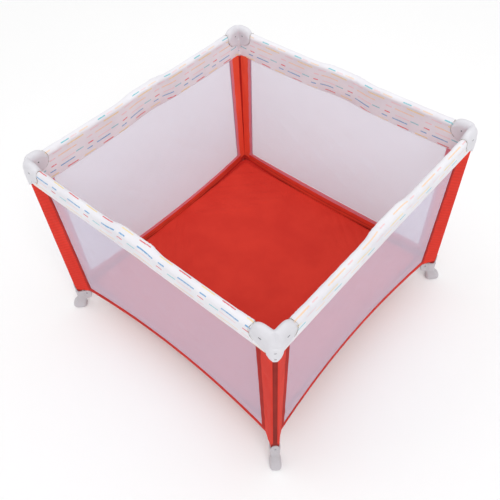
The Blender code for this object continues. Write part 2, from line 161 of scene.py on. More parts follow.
class Tree(Nodes):
    """A material and its nodes."""

    def __init__(self, name, roughness, **constants):
        self.material = bpy.data.materials.new(name)
        self.material.use_nodes = True
        super().__init__(self.material.node_tree)
        self.shader = self.nodes["Principled BSDF"]
        self.shader.inputs["Roughness"].default_value = roughness
        for socket, value in constants.items():
            self.shader.inputs[socket.replace("_", " ")].default_value = value

    def mix(self, factor, a, b):
        node = self.add("ShaderNodeMix", data_type="RGBA")
        for number, value in ((0, factor), (6, a), (7, b)):
            self.put(node.inputs[number], value)
        return node.outputs[2]

    def place(self):
        """The point's own coordinates, and its X, Y and Z."""
        vector = self.add("ShaderNodeTexCoord").outputs["Object"]
        return vector, self.add("ShaderNodeSeparateXYZ", {"Vector": vector}).outputs

    def noise(self, vector, scale, detail=2.0, stretch=None):
        if stretch:
            vector = self.add("ShaderNodeMapping", {"Vector": vector, "Scale": stretch}).outputs[0]
        inputs = {"Vector": vector, "Scale": scale, "Detail": detail}
        return self.add("ShaderNodeTexNoise", inputs).outputs["Fac"]

    def wave(self, value, period):
        """Sine of a length, from 0 to 1."""
        sine = self.math("SINE", self.math("MULTIPLY", value, 2 * pi / period))
        return self.math("MULTIPLY_ADD", sine, 0.5, 0.5)

    def line(self, value, at, half, soft):
        """1 within half of a place, falling to 0 over soft."""
        away = self.math("ABSOLUTE", self.math("SUBTRACT", value, at))
        return self.ramp(away, half + soft, half)

    def ramp(self, value, low, high, to_low=0.0, to_high=1.0):
        node = self.add("ShaderNodeMapRange", interpolation_type="SMOOTHSTEP")
        for socket, number in zip(node.inputs, (value, low, high, to_low, to_high)):
            self.put(socket, number)
        return node.outputs[0]

    def bump(self, height, distance, strength):
        inputs = {"Height": height, "Distance": distance, "Strength": strength}
        return self.add("ShaderNodeBump", inputs).outputs[0]

    def finish(self, colour, normal=None, roughness=None, alpha=None):
        values = {"Base Color": colour, "Normal": normal, "Roughness": roughness, "Alpha": alpha}
        for name, value in values.items():
            self.put(self.shader.inputs[name], value)
        return self.material


def srgb(red, green, blue):
    """A colour given as 0 to 255 on screen, as linear light."""
    shares = (red / 255, green / 255, blue / 255)
    return tuple(c / 12.92 if c <= 0.04045 else ((c + 0.055) / 1.055) ** 2.4 for c in shares)


def darker(colour, share):
    return tuple(share * c for c in colour)


def plastic(name, colour, dirt, roughness=0.38):
    """Moulded plastic: fine grain, slightly uneven gloss and duller low areas."""
    t = Tree(name, roughness, Specular_IOR_Level=0.42)
    vector, _ = t.place()
    cloud = t.noise(vector, 14.0, 3.0)
    grain = t.noise(vector, 900.0, 1.0)
    shade = t.mix(t.ramp(cloud, 0.35, 0.75), colour, dirt)
    uneven = t.math("MULTIPLY_ADD", cloud, 0.18, roughness - 0.07)
    return t.finish(shade, t.bump(grain, 0.0002, 0.25), uneven)


def painted_steel():
    t = Tree("steel_paint", 0.35, Metallic=0.75)
    vector, _ = t.place()
    cloud = t.noise(vector, 60.0, 3.0)
    drawn = t.noise(vector, 400.0, 2.0, (0.05, 1.0, 1.0))
    colour = t.mix(cloud, (0.50, 0.50, 0.52), (0.62, 0.62, 0.64))
    return t.finish(colour, t.bump(drawn, 0.0002, 0.2), t.math("MULTIPLY_ADD", cloud, 0.25, 0.25))


def weave(t, parts, pitch):
    """Height of a plain weave, from 0 to 1."""
    warp = t.wave(t.math("ADD", parts[0], parts[1]), pitch)
    return t.math("MULTIPLY", t.math("ADD", warp, t.wave(parts[2], pitch)), 0.5)


def cloth(name, colour, deep, ribs=False, lines=(), sheen=0.05):
    """Polyester cloth: weave and faint clouds, with diagonal ribs or darker sewn lines at given heights."""
    t = Tree(name, 0.82, Sheen_Weight=sheen, Sheen_Roughness=0.45, Specular_IOR_Level=0.15)
    t.shader.inputs["Sheen Tint"].default_value = (1.0, 0.55, 0.45, 1)
    vector, parts = t.place()
    thread = weave(t, parts, 0.0014)
    cloud = t.noise(vector, 7.0, 3.0)
    shade = t.mix(t.ramp(cloud, 0.3, 0.75), colour, deep)
    shade = t.mix(t.math("MULTIPLY", thread, 0.16), shade, deep)
    height = t.math("MULTIPLY", thread, 0.25)
    if ribs:
        slant = t.math("MULTIPLY_ADD", t.math("ABSOLUTE", parts[0]), RIB_SLOPE, parts[2])
        wobble = t.math("MULTIPLY_ADD", t.noise(vector, 30.0, 1.0), 0.004, slant)
        rib = t.wave(wobble, RIB_PITCH)
        shade = t.mix(t.math("MULTIPLY", rib, 0.22), shade, darker(colour, 0.52))
        height = t.math("MULTIPLY_ADD", rib, 0.9, height)
    for at in lines:
        seam = t.line(parts[2], at, 0.0006, 0.0012)
        shade = t.mix(t.math("MULTIPLY", seam, 0.55), shade, darker(colour, 0.35))
        height = t.math("MULTIPLY_ADD", seam, -1.5, height)
    return t.finish(shade, t.bump(height, 0.0006, 0.55))


def net_pattern(t, parts):
    """1 on the threads of a fine knitted net, 0 in its holes."""
    pitch, slope = 0.0030, 0.62
    across = t.math("ADD", parts[0], parts[1])
    waves = [t.wave(t.math("MULTIPLY_ADD", parts[2], lean, across), pitch) for lean in (slope, -slope)]
    return t.ramp(t.math("MULTIPLY", *waves), 0.72, 0.42)


def net_cloth(name, colour, shadow):
    """White knitted net, seen through in its holes."""
    t = Tree(name, 0.85, Sheen_Weight=0.1)
    vector, parts = t.place()
    thread = net_pattern(t, parts)
    cloud = t.noise(vector, 5.0, 3.0)
    shade = t.mix(cloud, colour, shadow)
    alpha = t.math("MULTIPLY_ADD", thread, 0.34, 0.33)
    return t.finish(shade, t.bump(thread, 0.0004, 0.4), alpha=alpha)


def net_on_red(name, net_colour, red):
    """Net sewn over red cloth: a pinkish, knitted surface."""
    t = Tree(name, 0.85)
    _, parts = t.place()
    thread = net_pattern(t, parts)
    shade = t.mix(t.math("MULTIPLY_ADD", thread, 0.42, 0.12), red, net_colour)
    return t.finish(shade, t.bump(thread, 0.0004, 0.4))


def dash_group():
    """Node group: 1 inside a dash with round ends that repeats along and across, 0 outside."""
    group = bpy.data.node_groups.new("dash", "ShaderNodeTree")
    for name in ("Along", "Across", "Centre along", "Centre across", "Half length", "Half width"):
        group.interface.new_socket(name, in_out="INPUT", socket_type="NodeSocketFloat")
    group.interface.new_socket("Mask", in_out="OUTPUT", socket_type="NodeSocketFloat")
    t = Nodes(group)
    along, across, centre_along, centre_across, half_long, half_wide, _ = t.add("NodeGroupInput").outputs

    def wrapped(value, centre, repeat):
        away = t.math("SUBTRACT", value, centre)
        return t.math("ABSOLUTE", t.math("WRAP", away, repeat / 2, -repeat / 2))

    past_end = t.math("SUBTRACT", wrapped(along, centre_along, PRINT_REPEAT[0]), half_long)
    past_end = t.math("MAXIMUM", past_end, 0.0)
    off_line = wrapped(across, centre_across, PRINT_REPEAT[1])
    squares = (t.math("MULTIPLY", past_end, past_end), t.math("MULTIPLY", off_line, off_line))
    away = t.math("SQRT", t.math("ADD", *squares))
    sharpness = 1400.0
    mask = t.math("ADD", t.math("MULTIPLY", t.math("SUBTRACT", half_wide, away), sharpness), 0.5)
    mask = t.math("MINIMUM", t.math("MAXIMUM", mask, 0.0), 1.0)
    t.put(t.add("NodeGroupOutput").inputs[0], mask)
    return group


# The print: row across the cloth, place along it, length, colour on screen, how strong
DASH_HALF_WIDTH = 0.0021
BLUE, TURQUOISE, RED = (88, 158, 208), (105, 195, 205), (222, 62, 72)
YELLOW, PEACH, PINK = (245, 214, 122), (246, 200, 148), (242, 186, 188)
DASHES = [
    (0.0120, 0.0000, 0.032, TURQUOISE, 0.95), (0.0120, 0.0350, 0.026, PINK, 0.50),
    (0.0120, 0.0765, 0.037, PEACH, 0.60),
    (0.0280, 0.0347, 0.067, YELLOW, 0.85), (0.0280, -0.0395, 0.038, PINK, 0.50),
    (0.0480, -0.0040, 0.075, PEACH, 0.75), (0.0480, -0.0650, 0.024, PINK, 0.70),
    (0.0715, 0.0400, 0.032, TURQUOISE, 0.85), (0.0715, -0.0668, 0.022, RED, 0.95),
    (0.0715, -0.0070, 0.056, PINK, 0.50),
    (0.0875, -0.0147, 0.060, BLUE, 0.95), (0.0895, -0.0753, 0.023, BLUE, 0.95),
    (0.1075, 0.0015, 0.045, RED, 0.95), (0.1075, 0.0724, 0.048, YELLOW, 0.80),
]


def printed_cloth(name, colour, shadow):
    """White padded cloth with rows of short coloured dashes, placed by the Print coordinates in metres."""
    t = Tree(name, 0.72, Sheen_Weight=0.12)
    vector, parts = t.place()
    printed = t.add("ShaderNodeUVMap", uv_map="Print").outputs[0]
    along, across, _ = t.add("ShaderNodeSeparateXYZ", {"Vector": printed}).outputs
    slub = t.noise(vector, 260.0, 2.0)
    across_wavy = t.math("MULTIPLY_ADD", t.math("SUBTRACT", slub, 0.5), 0.0014, across)
    thread = weave(t, parts, 0.0012)
    cloud = t.noise(vector, 9.0, 3.0)
    shade = t.mix(t.ramp(cloud, 0.35, 0.8), colour, shadow)
    group = dash_group()
    for row, place, length, ink, strength in DASHES:
        dash = t.add("ShaderNodeGroup", node_tree=group)
        values = (along, across_wavy, place, row, length / 2 - DASH_HALF_WIDTH, DASH_HALF_WIDTH)
        for socket, value in zip(dash.inputs, values):
            t.put(socket, value)
        worn = t.math("MULTIPLY", dash.outputs[0], t.ramp(slub, 0.25, 0.6, 0.55 * strength, strength))
        shade = t.mix(worn, shade, srgb(*ink))
    return t.finish(shade, t.bump(thread, 0.0004, 0.35))


def thread_line():
    """Binding thread that shows dark in places."""
    t = Tree("binding_thread", 0.8)
    vector, _ = t.place()
    dark = t.ramp(t.noise(vector, 120.0, 1.0), 0.42, 0.60)
    return t.finish(t.mix(dark, srgb(205, 200, 196), srgb(120, 104, 66)))


def webbing():
    t = Tree("strap_webbing", 0.85, Sheen_Weight=0.2)
    _, parts = t.place()
    height = t.math("MULTIPLY", t.wave(parts[0], 0.0022), t.wave(parts[1], 0.0016))
    shade = t.mix(height, (0.012, 0.012, 0.014), (0.045, 0.045, 0.05))
    return t.finish(shade, t.bump(height, 0.0005, 0.8))


WHITE_PLASTIC = plastic("fitting_plastic", (0.74, 0.73, 0.77), (0.68, 0.67, 0.71))
# Painted shade: the feet are the fittings' white plastic, painted darker for the shade they stand in low down
FOOT_PLASTIC_SHADED = plastic("foot_plastic_painted_shade", (0.54, 0.51, 0.54), (0.47, 0.44, 0.46), 0.45)
GREY_PLASTIC = plastic("hinge_plastic", (0.42, 0.41, 0.42), (0.34, 0.33, 0.34), 0.45)
# Dark plastic of the release buttons; the rivets' dark middles use it too, as painted shade of their recesses
DARK_PLASTIC_AND_PAINTED_SHADE = plastic("dark_plastic", (0.055, 0.055, 0.06), (0.035, 0.035, 0.04), 0.40)
STEEL = painted_steel()
FLOOR_RED = cloth("floor_cloth", srgb(216, 58, 44), srgb(206, 51, 39))
LEDGE_RED = cloth("ledge_cloth", srgb(206, 52, 42), srgb(190, 42, 36))
SEAM_RED = cloth("seam_cloth", srgb(132, 28, 24), srgb(110, 22, 20))
STRIP_RED = cloth("strip_cloth", srgb(226, 70, 48), srgb(212, 58, 42))
COLUMN_RED = cloth("column_cloth", srgb(230, 60, 46), srgb(218, 52, 40), ribs=True)
# Painted light: the columns' cloth without its ribs, painted lighter for the light its inner faces catch
# inside the playpen
COLUMN_INNER_LIT = cloth("column_inner_cloth_painted_light", srgb(248, 98, 70), srgb(238, 88, 62))
# Painted shade: the sleeve's cloth is painted much darker than the columns' cloth, for the shade round the
# leg
SLEEVE_RED_SHADED = cloth("sleeve_cloth_painted_shade", srgb(156, 38, 31), srgb(128, 28, 24), lines=SLEEVE_SEAMS, sheen=0.10)
BINDING_RED = cloth("binding_cloth", srgb(184, 40, 33), srgb(164, 32, 27))
HEM_RED = cloth("hem_cloth", srgb(214, 52, 42), srgb(190, 40, 34),
                    lines=(HEM_BOTTOM + 0.004, HEM_BOTTOM + 0.0185))
NET = net_cloth("wall_net", (0.70, 0.68, 0.83), (0.66, 0.64, 0.79))
NET_ON_RED = net_on_red("net_on_red", srgb(240, 178, 198), srgb(206, 62, 62))
PRINTED = printed_cloth("printed_cloth", (0.84, 0.83, 0.87), (0.77, 0.75, 0.80))
PIPING = cloth("white_piping", (0.84, 0.83, 0.86), (0.76, 0.75, 0.78))
THREAD = thread_line()
WEBBING = webbing()


# Meshes from numbers

def unit(vectors):
    return vectors / np.maximum(np.linalg.norm(vectors, axis=-1, keepdims=True), 1e-12)


def make_mesh(name, points, faces, materials, slots=None, uv=None, normals=None):
    mesh = bpy.data.meshes.new(name)
    mesh.from_pydata(points.tolist(), [], faces.tolist() if isinstance(faces, np.ndarray) else faces)
    for material in materials:
        mesh.materials.append(material)
    if slots is not None:
        mesh.polygons.foreach_set("material_index", np.array(slots, np.int32))
    if uv is not None:
        layer = mesh.uv_layers.new(name="Print")
        corner = np.zeros(len(mesh.loops), np.int32)
        mesh.loops.foreach_get("vertex_index", corner)
        layer.data.foreach_set("uv", uv[corner].astype(np.float32).ravel())
    mesh.shade_smooth()
    if normals is not None:
        mesh.normals_split_custom_set_from_vertices(normals.tolist())
    else:
        mesh.set_sharp_from_angle(angle=radians(60))
    mesh.validate()
    mesh.update()
    return mesh


def piece(name, data, degrees=0.0):
    obj = bpy.data.objects.new(name, data)
    bpy.context.scene.collection.objects.link(obj)
    obj.rotation_euler = (0, 0, radians(degrees))
    return obj


def grid_faces(rows, columns, close_rows=False):
    """Faces of a grid whose points are numbered row by row; close_rows joins the last row to the first."""
    down = np.arange(rows if close_rows else rows - 1)[:, None]
    across = np.arange(columns - 1)[None]
    below = (down + 1) % rows
    quads = [down * columns + across, down * columns + across + 1, below * columns + across + 1,
             below * columns + across]
    return np.stack(np.broadcast_arrays(*quads), -1).reshape(-1, 4)


def tube_faces(sides, length):
    """Faces of a closed outline carried along a path, with both ends closed."""
    faces = grid_faces(sides, length, close_rows=True).tolist()
    faces.append([i * length for i in range(sides)])
    faces.append([i * length + length - 1 for i in reversed(range(sides))])
    return faces


def rim_numbers(rows, columns):
    """Numbers of a grid's outermost points, in order."""
    index = np.arange(rows * columns).reshape(rows, columns)
    return np.concatenate([index[0], index[1:, -1], index[-1, -2::-1], index[-2:0:-1, 0]])


def shell(front, back):
    """Closed thin solid between two grids of points with the same shape. Returns points and faces."""
    rows, columns = front.shape[:2]
    points = np.concatenate([front.reshape(-1, 3), back.reshape(-1, 3)])
    count = rows * columns
    top = grid_faces(rows, columns)
    rim = rim_numbers(rows, columns)
    edge = np.stack([np.roll(rim, -1), rim, rim + count, np.roll(rim, -1) + count], -1)
    return points, np.concatenate([top, top[:, ::-1] + count, edge])


def flipped(faces, flip):
    return faces[:, ::-1] if flip else faces


def ripple(points, wavelength, seed, count=7):
    """Smooth unevenness between about -1 and 1, the same each run."""
    random = np.random.default_rng(seed)
    total = np.zeros(points.shape[:-1])
    for _ in range(count):
        direction = unit(random.normal(size=3)) * 2 * pi / (wavelength * random.uniform(0.7, 1.5))
        total += np.sin(points @ direction + random.uniform(0, 2 * pi))
    return total / sqrt(count)


def smoothstep(value):
    t = np.clip(value, 0, 1)
    return t * t * (3 - 2 * t)


def around(centre, radius, angle):
    """Points at angles on a circle in X and Y round the place (centre, centre)."""
    return np.stack([centre + radius * np.cos(angle), centre + radius * np.sin(angle)], -1)


# Moulded parts as fields: negative inside, positive outside

def round_meet(a, b, radius):
    """Where both fields are negative, with the edge between them rounded."""
    a, b = a + radius, b + radius
    return np.minimum(np.maximum(a, b), 0) + np.hypot(np.maximum(a, 0), np.maximum(b, 0)) - radius


def soft_join(a, b, blend):
    """Where either field is negative, with a fillet between them."""
    share = np.clip(0.5 + 0.5 * (b - a) / blend, 0, 1)
    return b * (1 - share) + a * share - blend * share * (1 - share)


def outline_field(first, second, outline):
    """Distance to a closed outline in two directions, negative inside."""
    shape = np.broadcast(first, second).shape
    best, inside = np.full(shape, 1e9), np.zeros(shape, bool)
    for (ax, ay), (bx, by) in zip(outline, outline[1:] + outline[:1]):
        ex, ey = bx - ax, by - ay
        wx, wy = first - ax, second - ay
        t = np.clip((wx * ex + wy * ey) / (ex * ex + ey * ey + 1e-18), 0, 1)
        best = np.minimum(best, (wx - ex * t) ** 2 + (wy - ey * t) ** 2)
        if by != ay:
            inside ^= ((ay > second) != (by > second)) & (first < ax + (second - ay) * ex / ey)
    return np.where(inside, -1, 1) * np.sqrt(best)


def field_mesh(name, field, low, high, step, materials):
    """Closed mesh where a field is zero: one point in each grid cell that the surface crosses."""
    axes = [np.arange(a, b + step, step) for a, b in zip(low, high)]
    value = field(axes[0][:, None, None], axes[1][None, :, None], axes[2][None, None, :])
    value = np.ascontiguousarray(np.broadcast_to(value, [len(a) for a in axes]))
    inside = value < 0
    corners = list(itertools.product((0, 1), repeat=3))

    def part(array, corner):
        return array[tuple(slice(c, n - 1 + c) for c, n in zip(corner, array.shape))]

    count = sum(part(inside, c).astype(np.int8) for c in corners)
    cells = np.argwhere((count > 0) & (count < 8))
    values = np.stack([value[tuple((cells + np.array(c)).T)] for c in corners], 1)
    total, crossings = np.zeros((len(cells), 3)), np.zeros((len(cells), 1))
    for i, j in itertools.combinations(range(8), 2):
        a, b = np.array(corners[i], float), np.array(corners[j], float)
        if np.abs(a - b).sum() != 1:
            continue
        crossed = ((values[:, i] < 0) != (values[:, j] < 0))[:, None]
        share = values[:, i] / np.where(values[:, i] == values[:, j], 1, values[:, i] - values[:, j])
        total += np.where(crossed, a + (b - a) * share[:, None], 0)
        crossings += crossed
    points = np.array(low) + step * (cells + total / crossings)
    index = np.full([n - 1 for n in value.shape], -1)
    index[tuple(cells.T)] = np.arange(len(cells))
    faces = []
    for axis in range(3):
        others = [k for k in range(3) if k != axis]
        here, there = (tuple(slice(o, n - 1 + o) if k == axis else slice(1, n - 1)
                             for k, n in enumerate(value.shape)) for o in (0, 1))
        for sign in (True, False):
            edges = np.argwhere((inside[here] == sign) & (inside[there] == (not sign)))
            edges[:, others] += 1
            ring = []
            for offset in ((-1, -1), (0, -1), (0, 0), (-1, 0)):
                cell = edges.copy()
                cell[:, others[0]] += offset[0]
                cell[:, others[1]] += offset[1]
                ring.append(index[tuple(cell.T)])
            quads = np.stack(ring, -1)
            faces.append(quads[:, ::-1] if sign == (axis == 1) else quads)
    return make_mesh(name, points, np.concatenate(faces), materials)


def arc(centre, radius, start, end, steps):
    angles = [radians(start + (end - start) * i / steps) for i in range(steps + 1)]
    return [(centre[0] + radius * cos(a), centre[1] + radius * sin(a)) for a in angles]


def fitting_outline():
    """Side view of an arm: distance along it, height. The top is flatter than the nose's lower half."""
    crown = DOME_TOP - TUBE_Z
    top = [(PIN + ARM_ROUND * cos(a), TUBE_Z + crown * sin(a)) for a in np.linspace(pi / 2, pi, 14)]
    nose = arc((PIN, TUBE_Z), ARM_ROUND, 180, 262, 14)[1:]
    sweep = [(0.4740, 0.7010), (0.4860, 0.6925), (0.4960, 0.6830)]
    return [(HALF, 0.6700), (HALF, DOME_TOP), *top, *nose, *sweep, (0.5010, 0.6700)]


def squeezed(z):
    """Heights drawn closer together near the top, which turns round edges into a taller dome."""
    return np.where(z > DOME_START, DOME_START + (z - DOME_START) * DOME_SQUEEZE, z)


def fitting_field(x, y, z):
    lifted = squeezed(z)
    flat = [(a, float(squeezed(b))) for a, b in fitting_outline()]

    def arm(along, across):
        side = outline_field(along, lifted, flat)
        slab = np.abs(across - ARM_MIDDLE) - ARM_THICK / 2
        radius = 0.0014 + 0.0138 * smoothstep((lifted - TUBE_Z + 0.012) / 0.024)
        return round_meet(side, slab, radius)

    body = soft_join(arm(x, y), arm(y, x), 0.004)
    # The shoulder over the outer corner falls away in one large curve
    near = smoothstep((np.minimum(x, y) - 0.4780) / 0.0300)
    centre = ARM_MIDDLE - near * (0.0130 + 0.0120 * smoothstep((lifted - 0.7350) / 0.0300))
    out = np.hypot(np.maximum(x - centre, 0), np.maximum(y - centre, 0)) / (HALF - centre)
    rise = np.maximum(lifted - 0.7530 + 0.0110 * near, 0) / (0.0156 + 0.0120 * near)
    body = np.maximum(body, (np.sqrt(out ** 2 + rise ** 2) - 1) * 0.0155)
    from_leg = np.hypot(x - LEG, y - LEG)
    stem = np.maximum(from_leg - STEM_RADIUS, np.maximum(z - 0.7240, 0.6650 - z))
    body = soft_join(body, stem, 0.006)
    # The stem ends in a tongue, open on the side towards the middle of the playpen
    across_stem = np.abs(x - y) / sqrt(2)
    tip = STEM_BOTTOM - 0.0060 + 1.05 * np.clip(across_stem - 0.0045, 0, None)
    body = np.maximum(body, (tip - z) * 0.7)
    body = np.maximum(body, -np.maximum(from_leg - STEM_BORE, z - 0.695))
    inner_side = np.maximum(x, y) - (LEG + 0.001)
    body = np.maximum(body, -np.maximum(inner_side, z - 0.6870))
    # Channels under the arms, which the rails fold down out of
    for along, across in ((x, y), (y, x)):
        hollow = np.maximum(outline_field(along, lifted, flat) + ARM_WALL, z - (TUBE_Z + 0.0050))
        channel = round_meet(hollow, np.abs(across - ARM_MIDDLE) - (ARM_THICK / 2 - ARM_WALL), 0.0060)
        body = np.maximum(body, -np.maximum(channel, along - (HALF - CHANNEL_START)))
    return np.maximum(body, -np.maximum(from_leg - TUBE_BORE, z - TUBE_TOP))


def fitting_mesh():
    low = (PIN - ARM_ROUND - 0.003,) * 2 + (STEM_BOTTOM - 0.004,)
    high = (HALF + 0.003,) * 2 + (FITTING_TOP + 0.003,)
    return field_mesh("fitting", fitting_field, low, high, 0.0011, [WHITE_PLASTIC])


def foot_section(z):
    """Middle along the diagonal, half length and half width of the foot at each height."""
    heights = np.array([-0.01, 0.0, 0.006, 0.018, 0.034, 0.052, 0.064, 0.080, 0.110])
    inner = np.array([0.6955, 0.6945, 0.6928, 0.6922, 0.6880, 0.6835, 0.6822, 0.6826, 0.6826])
    outer = np.array([0.7420, 0.7430, 0.7450, 0.7440, 0.7325, 0.7200, 0.7178, 0.7172, 0.7169])
    width = np.array([0.0182, 0.0190, 0.0200, 0.0195, 0.0166, 0.0152, 0.0168, 0.0171, 0.0170])
    smooth = []
    for values in (inner, outer, width):
        slope = np.gradient(values, heights)
        i = np.clip(np.searchsorted(heights, z) - 1, 0, len(heights) - 2)
        span = heights[i + 1] - heights[i]
        t = (z - heights[i]) / span
        smooth.append((1 + 2 * t) * (1 - t) ** 2 * values[i] + t * (1 - t) ** 2 * span * slope[i]
                      + t * t * (3 - 2 * t) * values[i + 1] + t * t * (t - 1) * span * slope[i + 1])
    return (smooth[0] + smooth[1]) / 2, (smooth[1] - smooth[0]) / 2, smooth[2]


def foot_field(s, t, z):
    """Foot drawn with the outward diagonal along its first axis."""
    centre, long, wide = foot_section(z)
    power = 3.4
    body = (((np.abs(s - centre) / long) ** power + (np.abs(t) / wide) ** power) ** (1 / power) - 1)
    body = body * np.minimum(long, wide)
    rim = smoothstep(1 - np.abs(z - 0.0965) / 0.0045)
    body = round_meet(body - 0.0009 * rim, z - 0.1003, 0.0010)
    body = round_meet(body, -z, 0.0028)
    from_leg = np.hypot(s - LEG_OUT, t)
    angle = np.abs(np.arctan2(t, s - LEG_OUT))
    tongue_top = 0.1365 - 0.032 * angle ** 2.2
    tongue = np.maximum(np.abs(from_leg - 0.0160) - 0.0017, np.maximum(z - tongue_top, 0.090 - z))
    tongue = np.maximum(tongue, (angle - 1.15) * 0.016)
    body = soft_join(body, tongue, 0.0022)
    nose = arc((FOOT_PIVOT - 0.004, PIVOT_HEIGHT), 0.0145, 90, 180, 8)
    under = [(0.6590, 0.0660), (0.6640, 0.0570), (0.6730, 0.0530), (0.6880, 0.0515)]
    outline = [*nose, *under, (0.6920, 0.0995)]
    bracket = round_meet(outline_field(s, z, outline), np.abs(t) - 0.0135, 0.0016)
    body = soft_join(body, bracket, 0.0045)
    notch = np.maximum(np.abs(t) - 0.0103, np.maximum(0.0600 - z, s - (LEG_OUT - 0.0133)))
    bore = np.maximum(from_leg - 0.0124, 0.0297 - z)
    body = np.maximum(np.maximum(body, -notch), -bore)
    pin = np.maximum(np.hypot(s - FOOT_PIVOT, z - PIVOT_HEIGHT) - 0.0026, np.abs(t) - 0.0125)
    return np.minimum(body, pin)


def foot_mesh():
    low, high = (0.6500, -0.0235, -0.0030), (0.7490, 0.0235, 0.1400)
    return field_mesh("foot", foot_field, low, high, 0.0010, [FOOT_PLASTIC_SHADED])


def stud_mesh(name, spots, materials):
    """Small rivets with a raised rim and a dark middle, painted shade that stands for a recess. Each spot is
    centre, outward direction, direction of its longer side, half length and half width."""
    sides = 20
    points, faces, slots = [], [], []
    # Rings from the rim inwards: scale and height
    profile = [(1.45, -0.0006), (1.40, 0.0003), (1.18, 0.0007),
               (1.0, 0.0003), (0.92, -0.0001), (0.55, 0.0004)]
    rim_bands = 3
    for centre, outward, along, half_long, half_wide in spots:
        centre, outward, along = (np.array(v, float) for v in (centre, outward, along))
        across = np.cross(outward, along)
        first = len(points)
        for (scale, height), i in itertools.product(profile, range(sides)):
            a = 2 * pi * i / sides
            u = cos(a) * half_wide * scale + (half_long - half_wide) * np.sign(round(cos(a), 6))
            points.append(centre + along * u + across * (sin(a) * half_wide * scale) + outward * height)
        points.append(centre + outward * 0.0006)
        for ring, i in itertools.product(range(len(profile)), range(sides)):
            a, b, j = first + ring * sides, first + (ring + 1) * sides, (i + 1) % sides
            last = ring == len(profile) - 1
            faces.append([a + i, a + j, len(points) - 1] if last else [a + i, a + j, b + j, b + i])
            # Rings past the rim take the dark material: painted shade standing in for the recess
            slots.append(0 if ring < rim_bands else 1)
    return make_mesh(name, np.array(points), faces, materials, slots)


def fitting_studs():
    """Long rivets outside the arms and round ones inside them, and two slots in the stem, with dark middles
    that are painted shade.
    """
    diagonal = np.array([1, 1, 0]) / sqrt(2)
    side = np.array([-1, 1, 0]) / sqrt(2)
    inner = HALF - ARM_THICK
    spots = [
        ((PIN, HALF, TUBE_Z), (0, 1, 0), (1, 0, 0), 0.0050, 0.0022),
        ((HALF, PIN, TUBE_Z), (1, 0, 0), (0, 1, 0), 0.0050, 0.0022),
        ((PIN, inner, TUBE_Z), (0, -1, 0), (1, 0, 0), 0.0026, 0.0025),
        ((inner, PIN, TUBE_Z), (-1, 0, 0), (0, 1, 0), 0.0026, 0.0025),
    ]
    away = np.linspace(0.700, 0.730, 601) / sqrt(2)
    for height in (0.7120, 0.6840):
        inside = fitting_field(away, away, np.full_like(away, height)) < 0
        outer = away[inside].max() * sqrt(2)
        spots.append((diagonal * (outer + 0.0002) + np.array([0, 0, height]), diagonal, side, 0.0034, 0.0014))
    return stud_mesh("fitting_studs", spots, [WHITE_PLASTIC, DARK_PLASTIC_AND_PAINTED_SHADE])


def foot_studs():
    spots = [((LEG_OUT + 0.0175, 0, 0.1120), (1, 0, 0), (0, 1, 0), 0.0030, 0.0022)]
    for sign in (-1, 1):
        spots.append(((FOOT_PIVOT, sign * 0.0134, PIVOT_HEIGHT), (0, sign, 0), (1, 0, 0), 0.0034, 0.0033))
    return stud_mesh("foot_studs", spots, [FOOT_PLASTIC_SHADED, DARK_PLASTIC_AND_PAINTED_SHADE])


# Walls

def hem_inset(x):
    share = np.minimum(1.0, np.abs(x) / (HALF - WALL_START))
    return HEM_INSET_CORNER + (HEM_INSET_MIDDLE - HEM_INSET_CORNER) * (1 - share ** 2)


def wall_inset(x, z):
    """How far the net lies behind the outer face."""
    low = hem_inset(x)
    return low + (WALL_TOP_INSET - low) * (z - HEM_BOTTOM) / (WALL_TOP - HEM_BOTTOM)


def hugged(x, inset, radius):
    """Inset of cloth that runs along the wall and then round the inner side of the leg."""
    reach = np.clip(radius ** 2 - (x - LEG) ** 2, 0, None)
    return np.where(x > LEG - radius, np.maximum(inset, HALF - LEG + np.sqrt(reach)), inset)


def wall_points(x, z, offset, radius=None):
    """Grid of points beside the net: rows of heights z, columns of distances x."""
    x, z = np.broadcast_arrays(x, z)
    inset = wall_inset(x, z) + offset
    if radius:
        inset = hugged(x, inset, radius)
    return np.stack([x, HALF - inset, z], -1)


def net_mesh(sign, seed):
    z = np.linspace(HEM_BOTTOM + 0.008, BAND_FREE - 0.004, 66)[:, None]
    x = np.linspace(0.0, NET_EDGE, 50)[None]
    points = wall_points(x, z, 0.0004)
    points[..., 0] *= sign
    # Ripples that die away towards the sewn edges
    loose = np.sin(pi * np.clip((z - 0.13) / 0.53, 0, 1))
    loose = loose * np.cos(pi / 2 * np.clip(x / NET_EDGE, 0, 1)) ** 0.5
    large, small = ripple(points * (1, 1, 0.45), 0.16, seed), ripple(points, 0.05, seed + 1)
    points[..., 1] += loose * (0.0016 * large + 0.0007 * small)
    faces = flipped(grid_faces(*points.shape[:2]), sign < 0)
    return make_mesh("net", points.reshape(-1, 3), faces, [NET])


def strip_mesh(name, x, z, front, thick, sign, material, seed):
    """Thin closed strip of cloth beside the net; front is its offset and thick how far back it goes."""
    face, back = wall_points(x, z, front), wall_points(x, z, front + thick)
    bend = 0.0004 * ripple(face, 0.045, seed)[..., None] * (0, 1, 0)
    for grid in (face, back):
        grid += bend
        grid[..., 0] *= sign
    points, faces = shell(face, back)
    return make_mesh(name, points, flipped(faces, (sign < 0) != (thick < 0)), [material])


COLUMN_STEPS = 12                   # points on each part of a column's outline
COLUMN_OUTER = 2 * COLUMN_STEPS - 1


def column_profile(z, radius, apart):
    """Outer face of a column at each height: from its sewn edge straight to the leg and partly round it."""
    start = np.array([COLUMN_EDGE, 0.0]) * np.ones((len(z), 1))
    start[:, 1] = HALF - wall_inset(COLUMN_EDGE, z) + 0.0015
    gap = LEG - start
    distance = np.hypot(gap[:, 0], gap[:, 1])
    tangent = np.arctan2(gap[:, 1], gap[:, 0]) + np.arcsin(radius / distance) + pi / 2
    share = np.linspace(0, 1, COLUMN_STEPS)[:, None]
    straight = start + (around(LEG, radius, tangent) - start) * share[..., None]
    turn = tangent + (np.radians(45 + apart) - tangent) * share[1:, :]
    return np.concatenate([straight, around(LEG, radius, turn)])


